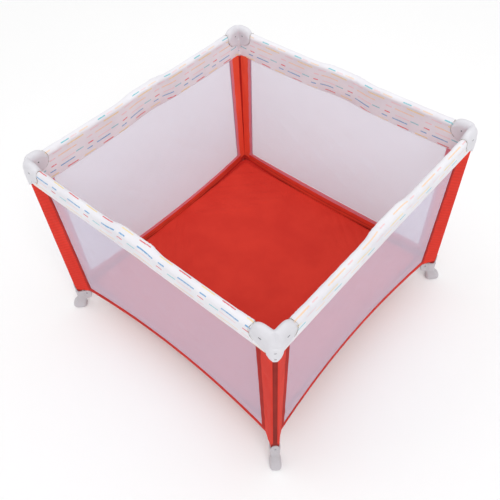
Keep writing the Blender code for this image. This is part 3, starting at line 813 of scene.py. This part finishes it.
def column_mesh(sign, seed):
    """Red cloth beside a leg, drawn round the leg's outer side and along its inner side."""
    z = np.concatenate([[HEM_BOTTOM + 0.0008], np.linspace(HEM_BOTTOM + 0.004, BAND_FREE + 0.004, 84)])
    # Low down the two sides' columns part, where the foot's tongue comes between them
    apart = 27 + 33 * smoothstep((0.155 - z) / 0.035)
    outer = column_profile(z, COLUMN_WRAP, apart)
    under = column_profile(z, COLUMN_WRAP - 0.0009, apart)[:0:-1][:COLUMN_STEPS]
    inner_x = np.linspace(LEG - COLUMN_WRAP / sqrt(2), COLUMN_EDGE, 16)[:, None]
    inner = wall_points(inner_x, z[None], 0.0034, COLUMN_WRAP)
    inner[0, :, :2] = np.minimum(inner[0, :, :1], inner[0, :, 1:2])
    front = np.concatenate([outer, under])
    tall = np.broadcast_to(z[None, :, None], front.shape[:2] + (1,))
    flat = np.concatenate([np.concatenate([front, tall], -1), inner])
    bend = 0.0010 * ripple(flat * (1, 1, 0.5), 0.05, seed) + 0.0004 * ripple(flat, 0.02, seed + 1)
    loose = np.sin(pi * np.clip((flat[..., 0] - COLUMN_EDGE) / 0.040, 0, 1))
    seam = COLUMN_OUTER + COLUMN_STEPS                       # the row where the inner cloth begins
    loose[COLUMN_STEPS:seam] = 0
    slant = 2 * pi * (flat[..., 2] + RIB_SLOPE * flat[..., 0]) / RIB_PITCH
    rib = 0.00025 * np.sin(slant) * (flat[..., 0] < 0.49)
    flat[..., 1] += bend * loose
    flat[:COLUMN_STEPS, :, 1] += rib[:COLUMN_STEPS]
    flat[..., 0] *= sign
    columns, rows = flat.shape[:2]
    faces = tube_faces(columns, rows)
    place = [min(face) // rows if len(face) == 4 else 0 for face in faces]
    slots = [2 if row == seam else int(row > seam) for row in place]
    faces = [face[::-1] for face in faces] if sign < 0 else faces
    return make_mesh("column", flat.reshape(-1, 3), faces, [COLUMN_RED, COLUMN_INNER_LIT, BINDING_RED], slots)


def binding_mesh(sign, seed):
    """Outside, over a column's sewn edge."""
    z = np.linspace(HEM_BOTTOM + 0.012, BAND_BOTTOM + 0.012, 70)[:, None]
    x = (BINDING_EDGE + np.array([0.0, 0.0006, 0.003, 0.007, 0.0115, 0.0150, 0.0170]))[None]
    return strip_mesh("binding", x, z, -0.0019, 0.0015, sign, BINDING_RED, seed)


def hem_mesh(sign, seed):
    """Folded red binding along the bottom of a wall, rounded below."""
    x = np.linspace(0.0, HEM_END, 60)
    outside = [(0.0226, -0.0012), (0.0220, -0.0021), (0.0190, -0.0026), (0.0170, -0.0020), (0.0110, -0.0022),
               (0.0050, -0.0024), (0.0035, -0.0020), (0.0010, -0.0017), (-0.0010, -0.0004), (-0.0016, 0.0014)]
    inside = [(-0.0010, 0.0030), (0.0010, 0.0040), (0.0060, 0.0042), (0.0180, 0.0040), (0.0230, 0.0036)]
    points = np.array([wall_points(x, HEM_BOTTOM + height, offset) for height, offset in outside + inside])
    points[..., 2] += 0.0006 * ripple(points * (1, 0, 0), 0.07, seed) * np.minimum(1, x / 0.05)
    points[..., 0] *= sign
    faces = tube_faces(*points.shape[:2])
    faces = [face[::-1] for face in faces] if sign > 0 else faces
    return make_mesh("hem", points.reshape(-1, 3), faces, [HEM_RED])


def strip_top(x, side):
    """Height of the strip above the floor: it rises towards the middle of the back and right sides."""
    rise = 0.021 if side in ("back", "right") else 0.003
    return STRIP_TOP + rise * (1 - np.minimum(1, np.abs(x) / 0.45) ** 2)


def inner_strip_mesh(sign, seed, side):
    """Inside, above the floor: red cloth with a sewn line, topped by a strip of net over red."""
    # Up the strip: share of its height, and how far it swells in tenths of a millimetre
    share = np.array([0, 0.08, 0.16, 0.26, 0.34, 0.37, 0.385, 0.40, 0.44, 0.52,
                      0.62, 0.70, 0.735, 0.75, 0.765, 0.83, 0.90, 0.97, 1.0])
    swell = np.array([0.0, 6, 12, 13, 9, 3, 0, 3, 8, 10, 10, 9, 6, 1, 2, 2, 2, 1, 0]) * 0.0001
    seam_rows, net_row = (5, 6), 13
    x = np.linspace(0.0, COLUMN_EDGE + 0.004, 56)[None]
    low = LEDGE_TOP - 0.002
    z = low + (strip_top(x, side) - low) * share[:, None]
    face = wall_points(x, z, 0.0) - np.array([0, 1, 0]) * (0.0036 + swell[:, None, None])
    back = wall_points(x, z, 0.0012)
    face[..., 1] += 0.0005 * ripple(face, 0.05, seed) * smoothstep((z - low) / 0.02)
    for grid in (face, back):
        grid[..., 0] *= sign
    points, faces = shell(face, back)
    rows = np.repeat(np.arange(len(share) - 1), x.shape[1] - 1)
    kinds = np.where(rows >= net_row, 1, np.where(np.isin(rows, seam_rows), 2, 0))
    slots = np.concatenate([kinds, kinds, np.zeros(len(faces) - 2 * len(kinds), int)])
    faces = flipped(faces, sign > 0)
    return make_mesh("inner_strip", points, faces, [STRIP_RED, NET_ON_RED, SEAM_RED], slots)


def selvedge_mesh(sign, seed):
    """Inside, beside a column: strip of net over red between the net and the column's cloth."""
    z = np.linspace(STRIP_TOP - 0.012, BAND_BOTTOM + 0.01, 60)[:, None]
    x = (SELVEDGE_EDGE + np.array([0.0, 0.0005, 0.003, 0.007, 0.010, 0.0125, 0.0130]))[None]
    return strip_mesh("selvedge", x, z, 0.0034, -0.0022, sign, NET_ON_RED, seed)


# Leg sleeve

def sleeve_mesh(seed):
    """Cloth sleeve round a leg, closed inside against the steel tube."""
    z = np.linspace(SLEEVE_LOW + 0.0005, SLEEVE_HIGH + 0.004, 110)
    angle, height = np.meshgrid(np.linspace(0, 2 * pi, 29)[:-1], z, indexing="ij")
    tall = height[..., None]
    spread = np.concatenate([around(0, 0.03, angle), tall * 0.4], -1)
    radius = 0.01405 + 0.00022 * ripple(spread, 0.03, seed) + 0.00012 * ripple(spread, 0.011, seed + 1)
    hem_radius, inner_radius = 0.0137, 0.0119
    radius = hem_radius + (radius - hem_radius) * smoothstep((height - SLEEVE_LOW) / 0.02)
    for at in SLEEVE_SEAMS:
        radius -= 0.0005 * np.exp(-((height - at) / 0.0016) ** 2)
        radius += 0.0003 * np.exp(-((height - at - 0.004) / 0.003) ** 2)
    outside = np.concatenate([around(LEG, radius, angle), tall], -1)
    inside = np.concatenate([around(LEG, inner_radius, angle), tall], -1)
    points = np.concatenate([outside, inside[:, ::-1]], 1)
    count, columns = points.shape[:2]
    index = np.arange(count * columns).reshape(count, columns)
    ahead = np.roll(index, -1, 0)
    faces = np.stack([index, ahead, np.roll(ahead, -1, 1), np.roll(index, -1, 1)], -1).reshape(-1, 4)
    return make_mesh("sleeve", points.reshape(-1, 3), faces, [SLEEVE_RED_SHADED])


# Printed cover and band over a top rail

def bulge(x):
    """The cover stands higher over the mid hinge."""
    return BULGE * smoothstep((0.130 - np.abs(x)) / 0.090)


def arch(x):
    """How much nearer the rail the band's lower edge is towards the middle of a side, from 0 to 1."""
    return smoothstep((0.34 - np.abs(x)) / 0.34) * 0.5 + smoothstep((0.13 - np.abs(x)) / 0.12) * 0.5


def cover_end(z, inner, reach):
    """Where a row of the cover or band ends towards the corner, at a given distance round the pin."""
    crown = reach if z < TUBE_Z else DOME_TOP + 0.0008 - TUBE_Z
    at_arc = PIN - reach * sqrt(max(0.0, 1 - ((z - TUBE_Z) / crown) ** 2))
    at_leg = LEG - 0.0150 / sqrt(2) if inner else BAND_END
    below = smoothstep((TUBE_Z - COVER_EDGE - z) / 0.006)
    return at_arc + (at_leg - at_arc) * below


def cover_rows():
    """Rows round the cover from the outer lower edge over the top to the inner one, as (kind, share)."""
    shares = {"outer": np.linspace(0, 1, 23)[:-1], "round": np.linspace(-1, 1, 31),
              "inner": np.linspace(0, 1, 23)[1:], "bead": np.linspace(0, 1, 8)[1:-1]}
    return [(kind, t) for kind, values in shares.items() for t in values]


def bezier(a, b, c, d, t):
    return a * (1 - t) ** 3 + 3 * b * t * (1 - t) ** 2 + 3 * c * t * t * (1 - t) + d * t ** 3


def cover_point(kind, t, x):
    """Inset and height of one row of the cover at distances x along the side."""
    fuller = 0.0016 * bulge(x) / BULGE
    radius, centre = COVER_RADIUS + fuller, COVER_Z + bulge(x) - fuller
    # Squarer and wider over the hinge's housing
    boxy = smoothstep((0.105 - np.abs(x)) / 0.050)
    wide, power = radius + 0.0022 * boxy, 1 / (1 + 0.5 * boxy)
    inset = COVER_INSET + 0.0008 * boxy
    low = BAND_BOTTOM + 0.0120 * arch(x)
    outer_low, inner_low = wall_inset(x, low) - 0.0022, wall_inset(x, low) + 0.0036
    first, last = radians(-90), radians(96)
    if kind == "round":
        a = first + (last - first) * (t + 1) / 2
        across, up = np.sin(a), np.cos(a)
        return (inset + wide * np.sign(across) * np.abs(across) ** power,
                centre + radius * np.sign(up) * np.abs(up) ** power)
    if kind == "bead":
        middle, half = (outer_low + inner_low) / 2, (inner_low - outer_low) / 2
        return middle + half * np.cos(pi * t), low - 0.0024 * np.sin(pi * t)
    if kind == "outer":
        # The outer layer hangs straight off the rail and then tucks in under itself
        top = inset - wide
        return (bezier(top, top - 0.0022, top - 0.0050, outer_low, 1 - t),
                bezier(centre, centre - 0.030, low + 0.034, low, 1 - t))
    top_n = inset + wide * np.sin(last) ** power
    top_z = centre - radius * np.abs(np.cos(last)) ** power
    return (bezier(top_n, top_n - 0.0006, top_n + 0.0006, inner_low, t),
            bezier(top_z, top_z - 0.030, low + 0.026, low, t))


def end_height(kind, t):
    """Height of a row of the cover near a corner."""
    return float(np.ravel(cover_point(kind, t, np.array([END_SECTION]))[1])[0])


def cover_grid(side, sign, middle=False):
    """Rows, points and print coordinates of half of a side's cover and band, or of its middle part."""
    rows = cover_rows()
    points = []
    for kind, t in rows:
        x = np.linspace(-COVER_MID, COVER_MID, 33)
        if not middle:
            place = end_height(kind, t), kind in ("inner", "bead")
            x = COVER_MID + (cover_end(*place, COVER_REACH) - COVER_MID) * np.linspace(0, 1, 75)
        n, z = cover_point(kind, t, x)
        n, z = np.broadcast_to(n, x.shape), np.broadcast_to(z, x.shape)
        if not middle:
            # Past the fitting's rounded edge the cloth is tucked inside the plastic
            tuck = 0.25 * smoothstep((x - cover_end(*place, COVER_EDGE)) / 0.003)
            n, z = n + (COVER_INSET - n) * tuck, z + (COVER_Z - z) * tuck * (kind == "round")
        if (kind == "inner" and np.max(z) < 0.712) or (kind == "bead" and t < 0.5):
            n = hugged(x, n, COLUMN_WRAP + 0.0010)
        points.append(np.stack([x, HALF - n, z], -1))
    points = np.array(points)
    # The print runs round the cover from the line along its top
    top = [i for i, (kind, t) in enumerate(rows) if kind == "round" and abs(t) < 1e-9][0]
    steps = np.linalg.norm(np.diff(points[:, :, 1:], axis=0), axis=-1)
    across = np.concatenate([np.zeros((1, points.shape[1])), np.cumsum(steps, 0)])
    across = across - across[top]
    points[..., 0] *= sign
    stretched = across * (1 + 0.08 * (across > 0) * bulge(points[..., 0]) / BULGE)
    printed = np.stack([points[..., 0], stretched], -1) - PRINT_START[side]
    return rows, points, printed


def roughen_cover(points, rows, seed):
    """Small folds in the cover: a loose middle, a cuff near each corner and general unevenness."""
    x = np.abs(points[..., 0])
    centre = np.stack([points[..., 0], np.full_like(x, HALF - COVER_INSET), np.full_like(x, COVER_Z)], -1)
    outward = unit((points - centre) * (0, 1, 1))
    hanging = np.array([kind != "round" for kind, _ in rows])[:, None]
    fine = 0.00035 * ripple(points * (1, 1.6, 1.6), 0.035, seed)
    folds = 0.0010 * ripple(points * (1.6, 0.6, 0.6), 0.022, seed + 1) * np.exp(-((x - 0.055) / 0.022) ** 2)
    gather = 0.0005 * ripple(points * (2.2, 0.5, 0.5), 0.012, seed + 2) * smoothstep((x - 0.36) / 0.06)
    cuff = 0.0008 * smoothstep((x - 0.3765) / 0.0030)
    push = np.where(hanging[..., None], np.sign(outward) * (0, 1, 0), outward)
    limit = np.where(hanging, 0.25, 1.0)
    return points + push * ((fine + folds + gather + cuff) * limit)[..., None]


def grid_normals(points):
    """Normals of a grid that closes on itself in its first direction."""
    return unit(np.cross(np.gradient(points, axis=1), np.roll(points, -1, 0) - np.roll(points, 1, 0)))


def cover_meshes(side, sign, seed, middle=False):
    """The cover above and the band below, cut apart where the band starts to hang."""
    rows, points, printed = cover_grid(side, sign, middle)
    points = roughen_cover(points, rows, seed)
    count, columns = points.shape[:2]
    # A grid that isn't mirrored faces inwards, so its faces and normals are turned round
    faces = flipped(grid_faces(count, columns, close_rows=True), sign > 0)
    normals = -sign * grid_normals(points).reshape(-1, 3)
    flat, uv = points.reshape(-1, 3), printed.reshape(-1, 2)
    face_row = np.repeat(np.arange(count), columns - 1)
    bead = np.array([kind == "bead" for kind, _ in rows])
    slots = (bead | np.roll(bead, -1))[face_row].astype(int)
    if middle:
        return [make_mesh("cover_middle", flat, faces, [PRINTED, PIPING], slots, uv, normals)]
    high = points[..., 2].mean(1) > BAND_JOIN
    upper = (high & np.roll(high, -1))[face_row]
    made = []
    for name, chosen in (("cover", upper), ("band", ~upper)):
        used, again = np.unique(faces[chosen], return_inverse=True)
        made.append(make_mesh(name, flat[used], again.reshape(-1, 4), [PRINTED, PIPING], slots[chosen],
                              uv[used], normals[used]))
    return made


def thread_mesh():
    """Thin binding thread round the cover's edge beside a corner fitting, for the +Y side's right end."""
    path = []
    for kind, t in cover_rows():
        n, z = (float(np.ravel(value)[0]) for value in cover_point(kind, t, np.array([END_SECTION])))
        if kind != "bead" and z >= TUBE_Z - 0.034:
            path.append((cover_end(z, False, COVER_EDGE), HALF - n, z))
    path = np.array(path)
    outward = unit((path - (0, HALF - COVER_INSET, TUBE_Z)) * (0, 1, 1))
    across = unit(np.cross(unit(np.gradient(path, axis=0)), outward))
    sides, radius = 6, 0.0007
    middle = path + outward * 0.0009
    turns = [2 * pi * k / sides for k in range(sides)]
    points = np.array([middle + radius * (cos(a) * across + sin(a) * outward) for a in turns])
    return make_mesh("edge_thread", points.reshape(-1, 3), tube_faces(sides, len(path)), [THREAD])


# Padded floor

FLOOR_CELLS = 84                    # across the whole floor; even, so that a row lies on each axis
PAD_CLEAR = 0.0033                  # hem's inset to the floor's edge
MAT_ROUND, LEDGE_ROUND = 0.0042, 0.006                       # radius of the rounded edges
# Folds in the mattress: start, end, height and width
FOLDS = (
    ((-0.40, 0.20), (-0.20, 0.16), 0.0016, 0.010),
    ((-0.30, 0.33), (-0.08, 0.27), 0.0013, 0.010),
    ((-0.42, -0.05), (-0.25, -0.02), 0.0012, 0.010),
    ((0.05, 0.34), (0.22, 0.38), 0.0009, 0.012),
    ((-0.42, -0.30), (-0.30, -0.18), 0.0010, 0.012),
)


def square_shares(cells, crowd):
    """Two grids of shares from -1 to 1, crowded towards the edges, and how far each point is from an edge."""
    share = np.linspace(-1, 1, cells + 1)
    share = np.sign(share) * (1 - (1 - np.abs(share)) ** crowd)
    a, b = np.meshgrid(share, share, indexing="ij")
    return a, b, np.minimum(1 - np.abs(a), 1 - np.abs(b))


def floor_outline(a, b):
    """Places a square grid of shares from -1 to 1 within the hems, with cut corners."""
    reach = 0.4700
    x = a * (HALF - hem_inset(b * reach) - PAD_CLEAR)
    y = b * (HALF - hem_inset(a * reach) - PAD_CLEAR)
    # Along the diagonal, points past the start are pulled back towards the limit
    start, limit = 0.6450, 0.6735
    out = (np.abs(x) + np.abs(y)) / sqrt(2)
    over, room = np.clip(out - start, 0, None), limit - start
    pulled = room * (1 - np.exp(-over / room))
    scale = np.where(over > 0, (start + pulled) / np.maximum(out, 1e-9), 1)
    return x * scale, y * scale


def flat_square(name, half, level):
    mesh = bpy.data.meshes.new(name)
    corners = [(-half, -half, level), (half, -half, level), (half, half, level), (-half, half, level)]
    mesh.from_pydata(corners, [], [(0, 1, 2, 3)])
    return mesh


def simulate_top(points):
    """Lets a slightly oversize cloth settle over the floor board, held at its edge."""
    rows, columns = points.shape[:2]
    mesh = make_mesh("settling", points.reshape(-1, 3), grid_faces(rows, columns), [FLOOR_RED])
    settling = piece("settling", mesh)
    held = settling.vertex_groups.new(name="held")
    held.add(sorted(rim_numbers(rows, columns).tolist()), 1.0, "REPLACE")
    board = piece("board", flat_square("board", 0.6, FLOOR_TOP - 0.0016))
    board.modifiers.new("Collision", "COLLISION")
    board.collision.thickness_outer = 0.0008
    modifier = settling.modifiers.new("Cloth", "CLOTH")
    values = {
        "quality": 5, "mass": 0.25, "tension_stiffness": 20, "compression_stiffness": 20,
        "shear_stiffness": 8, "bending_stiffness": 1.2, "shrink_min": -0.010, "vertex_group_mass": "held",
    }
    for name, value in values.items():
        setattr(modifier.settings, name, value)
    modifier.collision_settings.distance_min = 0.0008
    modifier.collision_settings.collision_quality = 2
    scene = bpy.context.scene
    last_frame = 26
    for number in range(1, last_frame + 1):
        scene.frame_set(number)
    settled = settling.evaluated_get(bpy.context.evaluated_depsgraph_get()).data
    moved = np.zeros(rows * columns * 3)
    settled.vertices.foreach_get("co", moved)
    for obj in (settling, board):
        bpy.data.objects.remove(obj)
    scene.frame_set(1)
    return moved.reshape(points.shape)


def crease(x, y, from_point, to_point, height, width):
    """A soft raised fold in the floor's cloth between two points."""
    start, end = np.array(from_point), np.array(to_point)
    along = end - start
    t = np.clip(((x - start[0]) * along[0] + (y - start[1]) * along[1]) / (along @ along), 0, 1)
    away = np.hypot(x - start[0] - along[0] * t, y - start[1] - along[1] * t)
    return height * np.exp(-(away / width) ** 2) * np.sin(pi * np.clip(0.15 + 0.7 * t, 0, 1))


def rounded_square(a, b, half, radius):
    """Places a square grid of shares from -1 to 1 in a square with rounded corners."""
    x, y = a * half, b * half
    over_x, over_y = np.abs(x) - (half - radius), np.abs(y) - (half - radius)
    corner = (over_x > 0) & (over_y > 0)
    scale = np.where(corner, np.maximum(over_x, over_y) / np.maximum(np.hypot(over_x, over_y), 1e-9), 1)
    x = np.where(corner, np.sign(x) * (half - radius + over_x * scale), x)
    y = np.where(corner, np.sign(y) * (half - radius + over_y * scale), y)
    return x, y


def round_edge(edge, radius):
    """Drop of a rounded edge at a distance from it."""
    away = np.clip(radius - edge, 0, None)
    return radius - np.sqrt(np.clip(radius ** 2 - away ** 2, 0, None))


def mattress_grids():
    """Top and bottom points of the mattress, with settled cloth, folds and a lifted left edge."""
    a, b, edge = square_shares(FLOOR_CELLS, 1.10)
    edge = edge * MAT_HALF
    x, y = rounded_square(a, b, MAT_HALF, 0.020)
    top = np.stack([x, y, np.full_like(x, FLOOR_TOP - 0.0006)], -1)
    most = 0.003                                             # how far a point may settle
    top = top + np.clip(simulate_top(top) - top, -most, most)
    top[..., 2] += 0.0006 * ripple(top * (1, 1, 0), 0.13, 5) * smoothstep(edge / 0.03)
    for start, end, height, width in FOLDS:
        top[..., 2] += crease(x, y, start, end, height, width)
    top[..., 2] -= round_edge(edge, MAT_ROUND)
    bottom = np.stack([x, y, np.full_like(x, LEDGE_TOP + 0.0004)], -1)
    bottom[..., 2] += 0.6 * round_edge(edge, MAT_ROUND)
    wave = 0.5 + 0.5 * ripple(top * (0, 1, 0) + (0.3, 0, 0), 0.085, 3)
    lift = 0.0052 * wave * smoothstep((x + 0.405) / -0.045) * smoothstep((0.44 - np.abs(y)) / 0.05)
    for grid in (top, bottom):
        grid[..., 2] += lift
        grid[..., 0] += 0.6 * lift
    return top, bottom


def ledge_grids():
    """Top and bottom points of the red base that the mattress lies on."""
    a, b, edge = square_shares(44, 1.25)
    edge = edge * 0.46
    x, y = floor_outline(a, b)
    top = np.stack([x, y, LEDGE_TOP - round_edge(edge, LEDGE_ROUND)], -1)
    shown = smoothstep((0.05 - edge) / 0.02)
    top[..., 2] += 0.0006 * ripple(top * (1, 1, 0), 0.05, 8) * shown - 0.0008 * (1 - shown)
    bottom = np.stack([x, y, PAD_BOTTOM + 0.0004 + 0.35 * round_edge(edge, LEDGE_ROUND)], -1)
    return top, bottom


def quarters(name, top, bottom, materials):
    """Four quarters of a padded square, cut from one surface so that no seam shows between them."""
    top_normal = unit(np.cross(np.gradient(top, axis=0), np.gradient(top, axis=1)))
    middle = top.shape[0] // 2
    high, low = slice(middle, None), slice(None, middle + 1)
    pick = {"back_right": (high, high), "back_left": (low, high), "front_left": (low, low),
            "front_right": (high, low)}
    made = {}
    for corner, part in pick.items():
        rows, columns = top[part].shape[:2]
        upper, lower = top[part].reshape(-1, 3), bottom[part].reshape(-1, 3)
        rim = rim_numbers(rows, columns)
        # Round the edge, halfway down, a row of points stands out a little
        side = (upper[rim] + lower[rim]) / 2
        outer = np.minimum(np.abs(side[:, 0]), np.abs(side[:, 1])) > 0.004
        side[:, :2] += unit(side[:, :2]) * np.where(outer, 0.0010, 0)[:, None]
        count = rows * columns
        points = np.concatenate([upper, lower, side])
        ring = np.arange(len(rim)) + 2 * count
        ahead, ring_ahead = np.roll(rim, -1), np.roll(ring, -1)
        faces = np.concatenate([
            grid_faces(rows, columns)[:, ::-1], grid_faces(rows, columns) + count,
            np.stack([rim, ahead, ring_ahead, ring], -1),
            np.stack([ring, ring_ahead, ahead + count, rim + count], -1),
        ])
        normals = np.zeros_like(points)
        normals[:count] = top_normal[part].reshape(-1, 3)
        normals[count:2 * count] = (0, 0, -1)
        normals[2 * count:, :2] = unit(side[:, :2])
        made[corner] = make_mesh(name, points, faces, materials, normals=normals)
    return made


# Placing


def add(name, mesh, degrees, body, node=None):
    """A piece turned into place on its body and the CAD node that it stands for."""
    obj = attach(piece(name, mesh, degrees), body)
    if node:
        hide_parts(node)
    return obj


def tube_mesh():
    """A leg's steel tube, ending inside the corner fitting and the foot."""
    low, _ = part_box("leg_tube_back_right")
    sides = 48
    ring = around(LEG, LEG - low.x, np.linspace(0, 2 * pi, sides + 1)[:-1])
    points = np.array([[(*place, low.z), (*place, TUBE_TOP)] for place in ring])
    faces = [face[::-1] for face in tube_faces(sides, 2)]
    return make_mesh("leg_steel", points.reshape(-1, 3), faces, [STEEL])


def build_corners():
    """Everything on a leg, and a quarter of the floor."""
    fitting, studs, foot, foot_stud = fitting_mesh(), fitting_studs(), foot_mesh(), foot_studs()
    tube = tube_mesh()
    mattresses = quarters("mattress", *mattress_grids(), [FLOOR_RED])
    ledges = quarters("ledge", *ledge_grids(), [LEDGE_RED])
    for number, (corner, degrees) in enumerate(CORNERS.items()):
        leg = "leg_" + corner
        add("fitting_" + corner, fitting, degrees, leg, "corner_fitting_" + corner)
        add("fitting_rivets_" + corner, studs, degrees, leg)
        # The foot is drawn with the diagonal along X
        add("foot_shell_" + corner, foot, degrees + 45, leg, "foot_" + corner)
        add("foot_rivets_" + corner, foot_stud, degrees + 45, leg)
        steel = add("leg_steel_" + corner, tube, degrees, leg, node="leg_tube_" + corner)
        sleeve = add("sleeve_" + corner, sleeve_mesh(40 + number), degrees, leg,
                     "leg_sleeve_" + corner)
        base = "base_" + corner
        mattress = add("mattress_" + corner, mattresses[corner], 0, base, "floor_pad_" + corner)
        ledge = add("floor_ledge_" + corner, ledges[corner], 0, base)
        for padded in (mattress, ledge):
            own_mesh(padded)


def build_walls():
    """Each half of a wall rides on its own leg."""
    for number, (side, degrees) in enumerate(SIDES.items()):
        for (end, corner), sign in zip(ENDS[side], (1, -1)):
            seed = 100 + 10 * number + (5 if sign < 0 else 0)
            tag = f"{side}_{end}"
            parts = {
                "net": net_mesh(sign, 100 + 10 * number),
                "column": column_mesh(sign, seed + 1),
                "binding": binding_mesh(sign, seed + 2),
                "hem": hem_mesh(sign, 100 + number),
                "inner_strip": inner_strip_mesh(sign, 200 + number, side),
                "selvedge": selvedge_mesh(sign, seed + 3),
            }
            made = []
            for name, mesh in parts.items():
                slot, node = ("net", f"{side}_wall_{end}") if name == "net" else ("red_fabric", None)
                made.append(add(f"{name}_{tag}", mesh, degrees, "leg_" + corner, node))
                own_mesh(made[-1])


def build_covers():
    """Covers and bands ride on the rail's halves, and the middle of each cover on the mid hinge."""
    right_thread = thread_mesh()
    left_thread = right_thread.copy()
    left_thread.transform(Matrix.Scale(-1, 4, (1, 0, 0)))
    left_thread.flip_normals()
    for number, (side, degrees) in enumerate(SIDES.items()):
        seed = 300 + 10 * number
        for (end, _), sign, thread in zip(ENDS[side], (1, -1), (right_thread, left_thread)):
            cover, band = cover_meshes(side, sign, seed)
            tag, rail = f"{side}_{end}", f"{side}_rail_{end}"
            padded = add(f"cover_{tag}", cover, degrees, rail, f"{side}_rail_cover_{end}")
            hanging = add(f"band_{tag}", band, degrees, rail)
            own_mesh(hanging)
            edge = add(f"edge_thread_{tag}", thread, degrees, rail)
        mesh, = cover_meshes(side, 1, seed, middle=True)
        middle = add(f"cover_{side}_middle", mesh, degrees, f"{side}_mid_hinge")
        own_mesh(middle)


def dress_frame():
    """Materials for the CAD nodes that stay."""
    looks = {"base_tube": STEEL, "rail_tube": STEEL, "mid_hinge": GREY_PLASTIC,
             "release_button": DARK_PLASTIC_AND_PAINTED_SHADE, "hub": GREY_PLASTIC, "pull_strap": WEBBING}
    sharp = radians(38)
    for (name, obj), (part, material) in itertools.product(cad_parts.items(), looks.items()):
        if part in name:
            for slot in obj.material_slots:
                slot.material = material
            obj.data.shade_smooth()
            obj.data.set_sharp_from_angle(angle=sharp)
            rounding = obj.modifiers.new("rounding", "BEVEL")
            rounding.width, rounding.segments = 0.0006, 2
            rounding.limit_method, rounding.angle_limit = "ANGLE", sharp


# Camera and studio

def add_camera():
    position = Vector((0.9754, -1.0825, 1.9745))
    yaw, pitch, roll = radians(-42.9), radians(49.76), radians(-2.87)
    forward = Vector((cos(pitch) * sin(yaw), cos(pitch) * cos(yaw), -sin(pitch)))
    level = Vector((cos(yaw), -sin(yaw), 0))
    upright = level.cross(forward)
    right = cos(roll) * level + sin(roll) * upright
    up = -sin(roll) * level + cos(roll) * upright
    data = bpy.data.cameras.new("camera")
    data.sensor_width, data.lens, data.clip_end = 36.0, 43.0, 50.0
    camera = piece("camera", data)
    turn = Matrix((right, up, -forward)).transposed()
    camera.matrix_world = Matrix.Translation(position) @ turn.to_4x4()
    bpy.context.scene.camera = camera


def add_light(name, kind, towards, energy, **settings):
    """A light whose Z axis points the given way."""
    data = bpy.data.lights.new(name, kind)
    data.energy = energy
    for setting, value in settings.items():
        setattr(data, setting, value)
    light = piece(name, data)
    light.rotation_euler = Vector(towards).to_track_quat("Z", "Y").to_euler()
    return light


def add_studio():
    world = bpy.data.worlds.new("studio")
    bpy.context.scene.world = world
    world.use_nodes = True
    background = world.node_tree.nodes["Background"]
    background.inputs["Color"].default_value = (1.0, 1.0, 1.0, 1)
    background.inputs["Strength"].default_value = 0.66
    t = Tree("studio_floor", 0.9)
    vector, _ = t.place()
    soft = t.noise(vector, 1.5, 2.0)
    t.finish(t.mix(soft, (0.985, 0.985, 0.985), (0.995, 0.995, 0.995)))
    floor = piece("studio_floor", flat_square("studio_floor", 14.0, 0))
    floor.data.materials.append(t.material)
    floor.location.z = -0.0003
    # Soft light from far away is the same all over the floor
    add_light("key", "SUN", (2.2, -1.4, 3.0), 0.95, angle=radians(38))
    add_light("fill", "SUN", (-2.4, -1.2, 2.2), 0.34, angle=radians(50))
    top, middle = Vector((0.2, 0.3, 2.6)), Vector((0, 0, 0.4))
    add_light("top", "AREA", top - middle, 9, shape="SQUARE", size=2.2).location = top


def main():
    bpy.context.scene.view_settings.view_transform = "Standard"
    build_corners()
    build_walls()
    build_covers()
    dress_frame()
    add_camera()
    add_studio()


main()
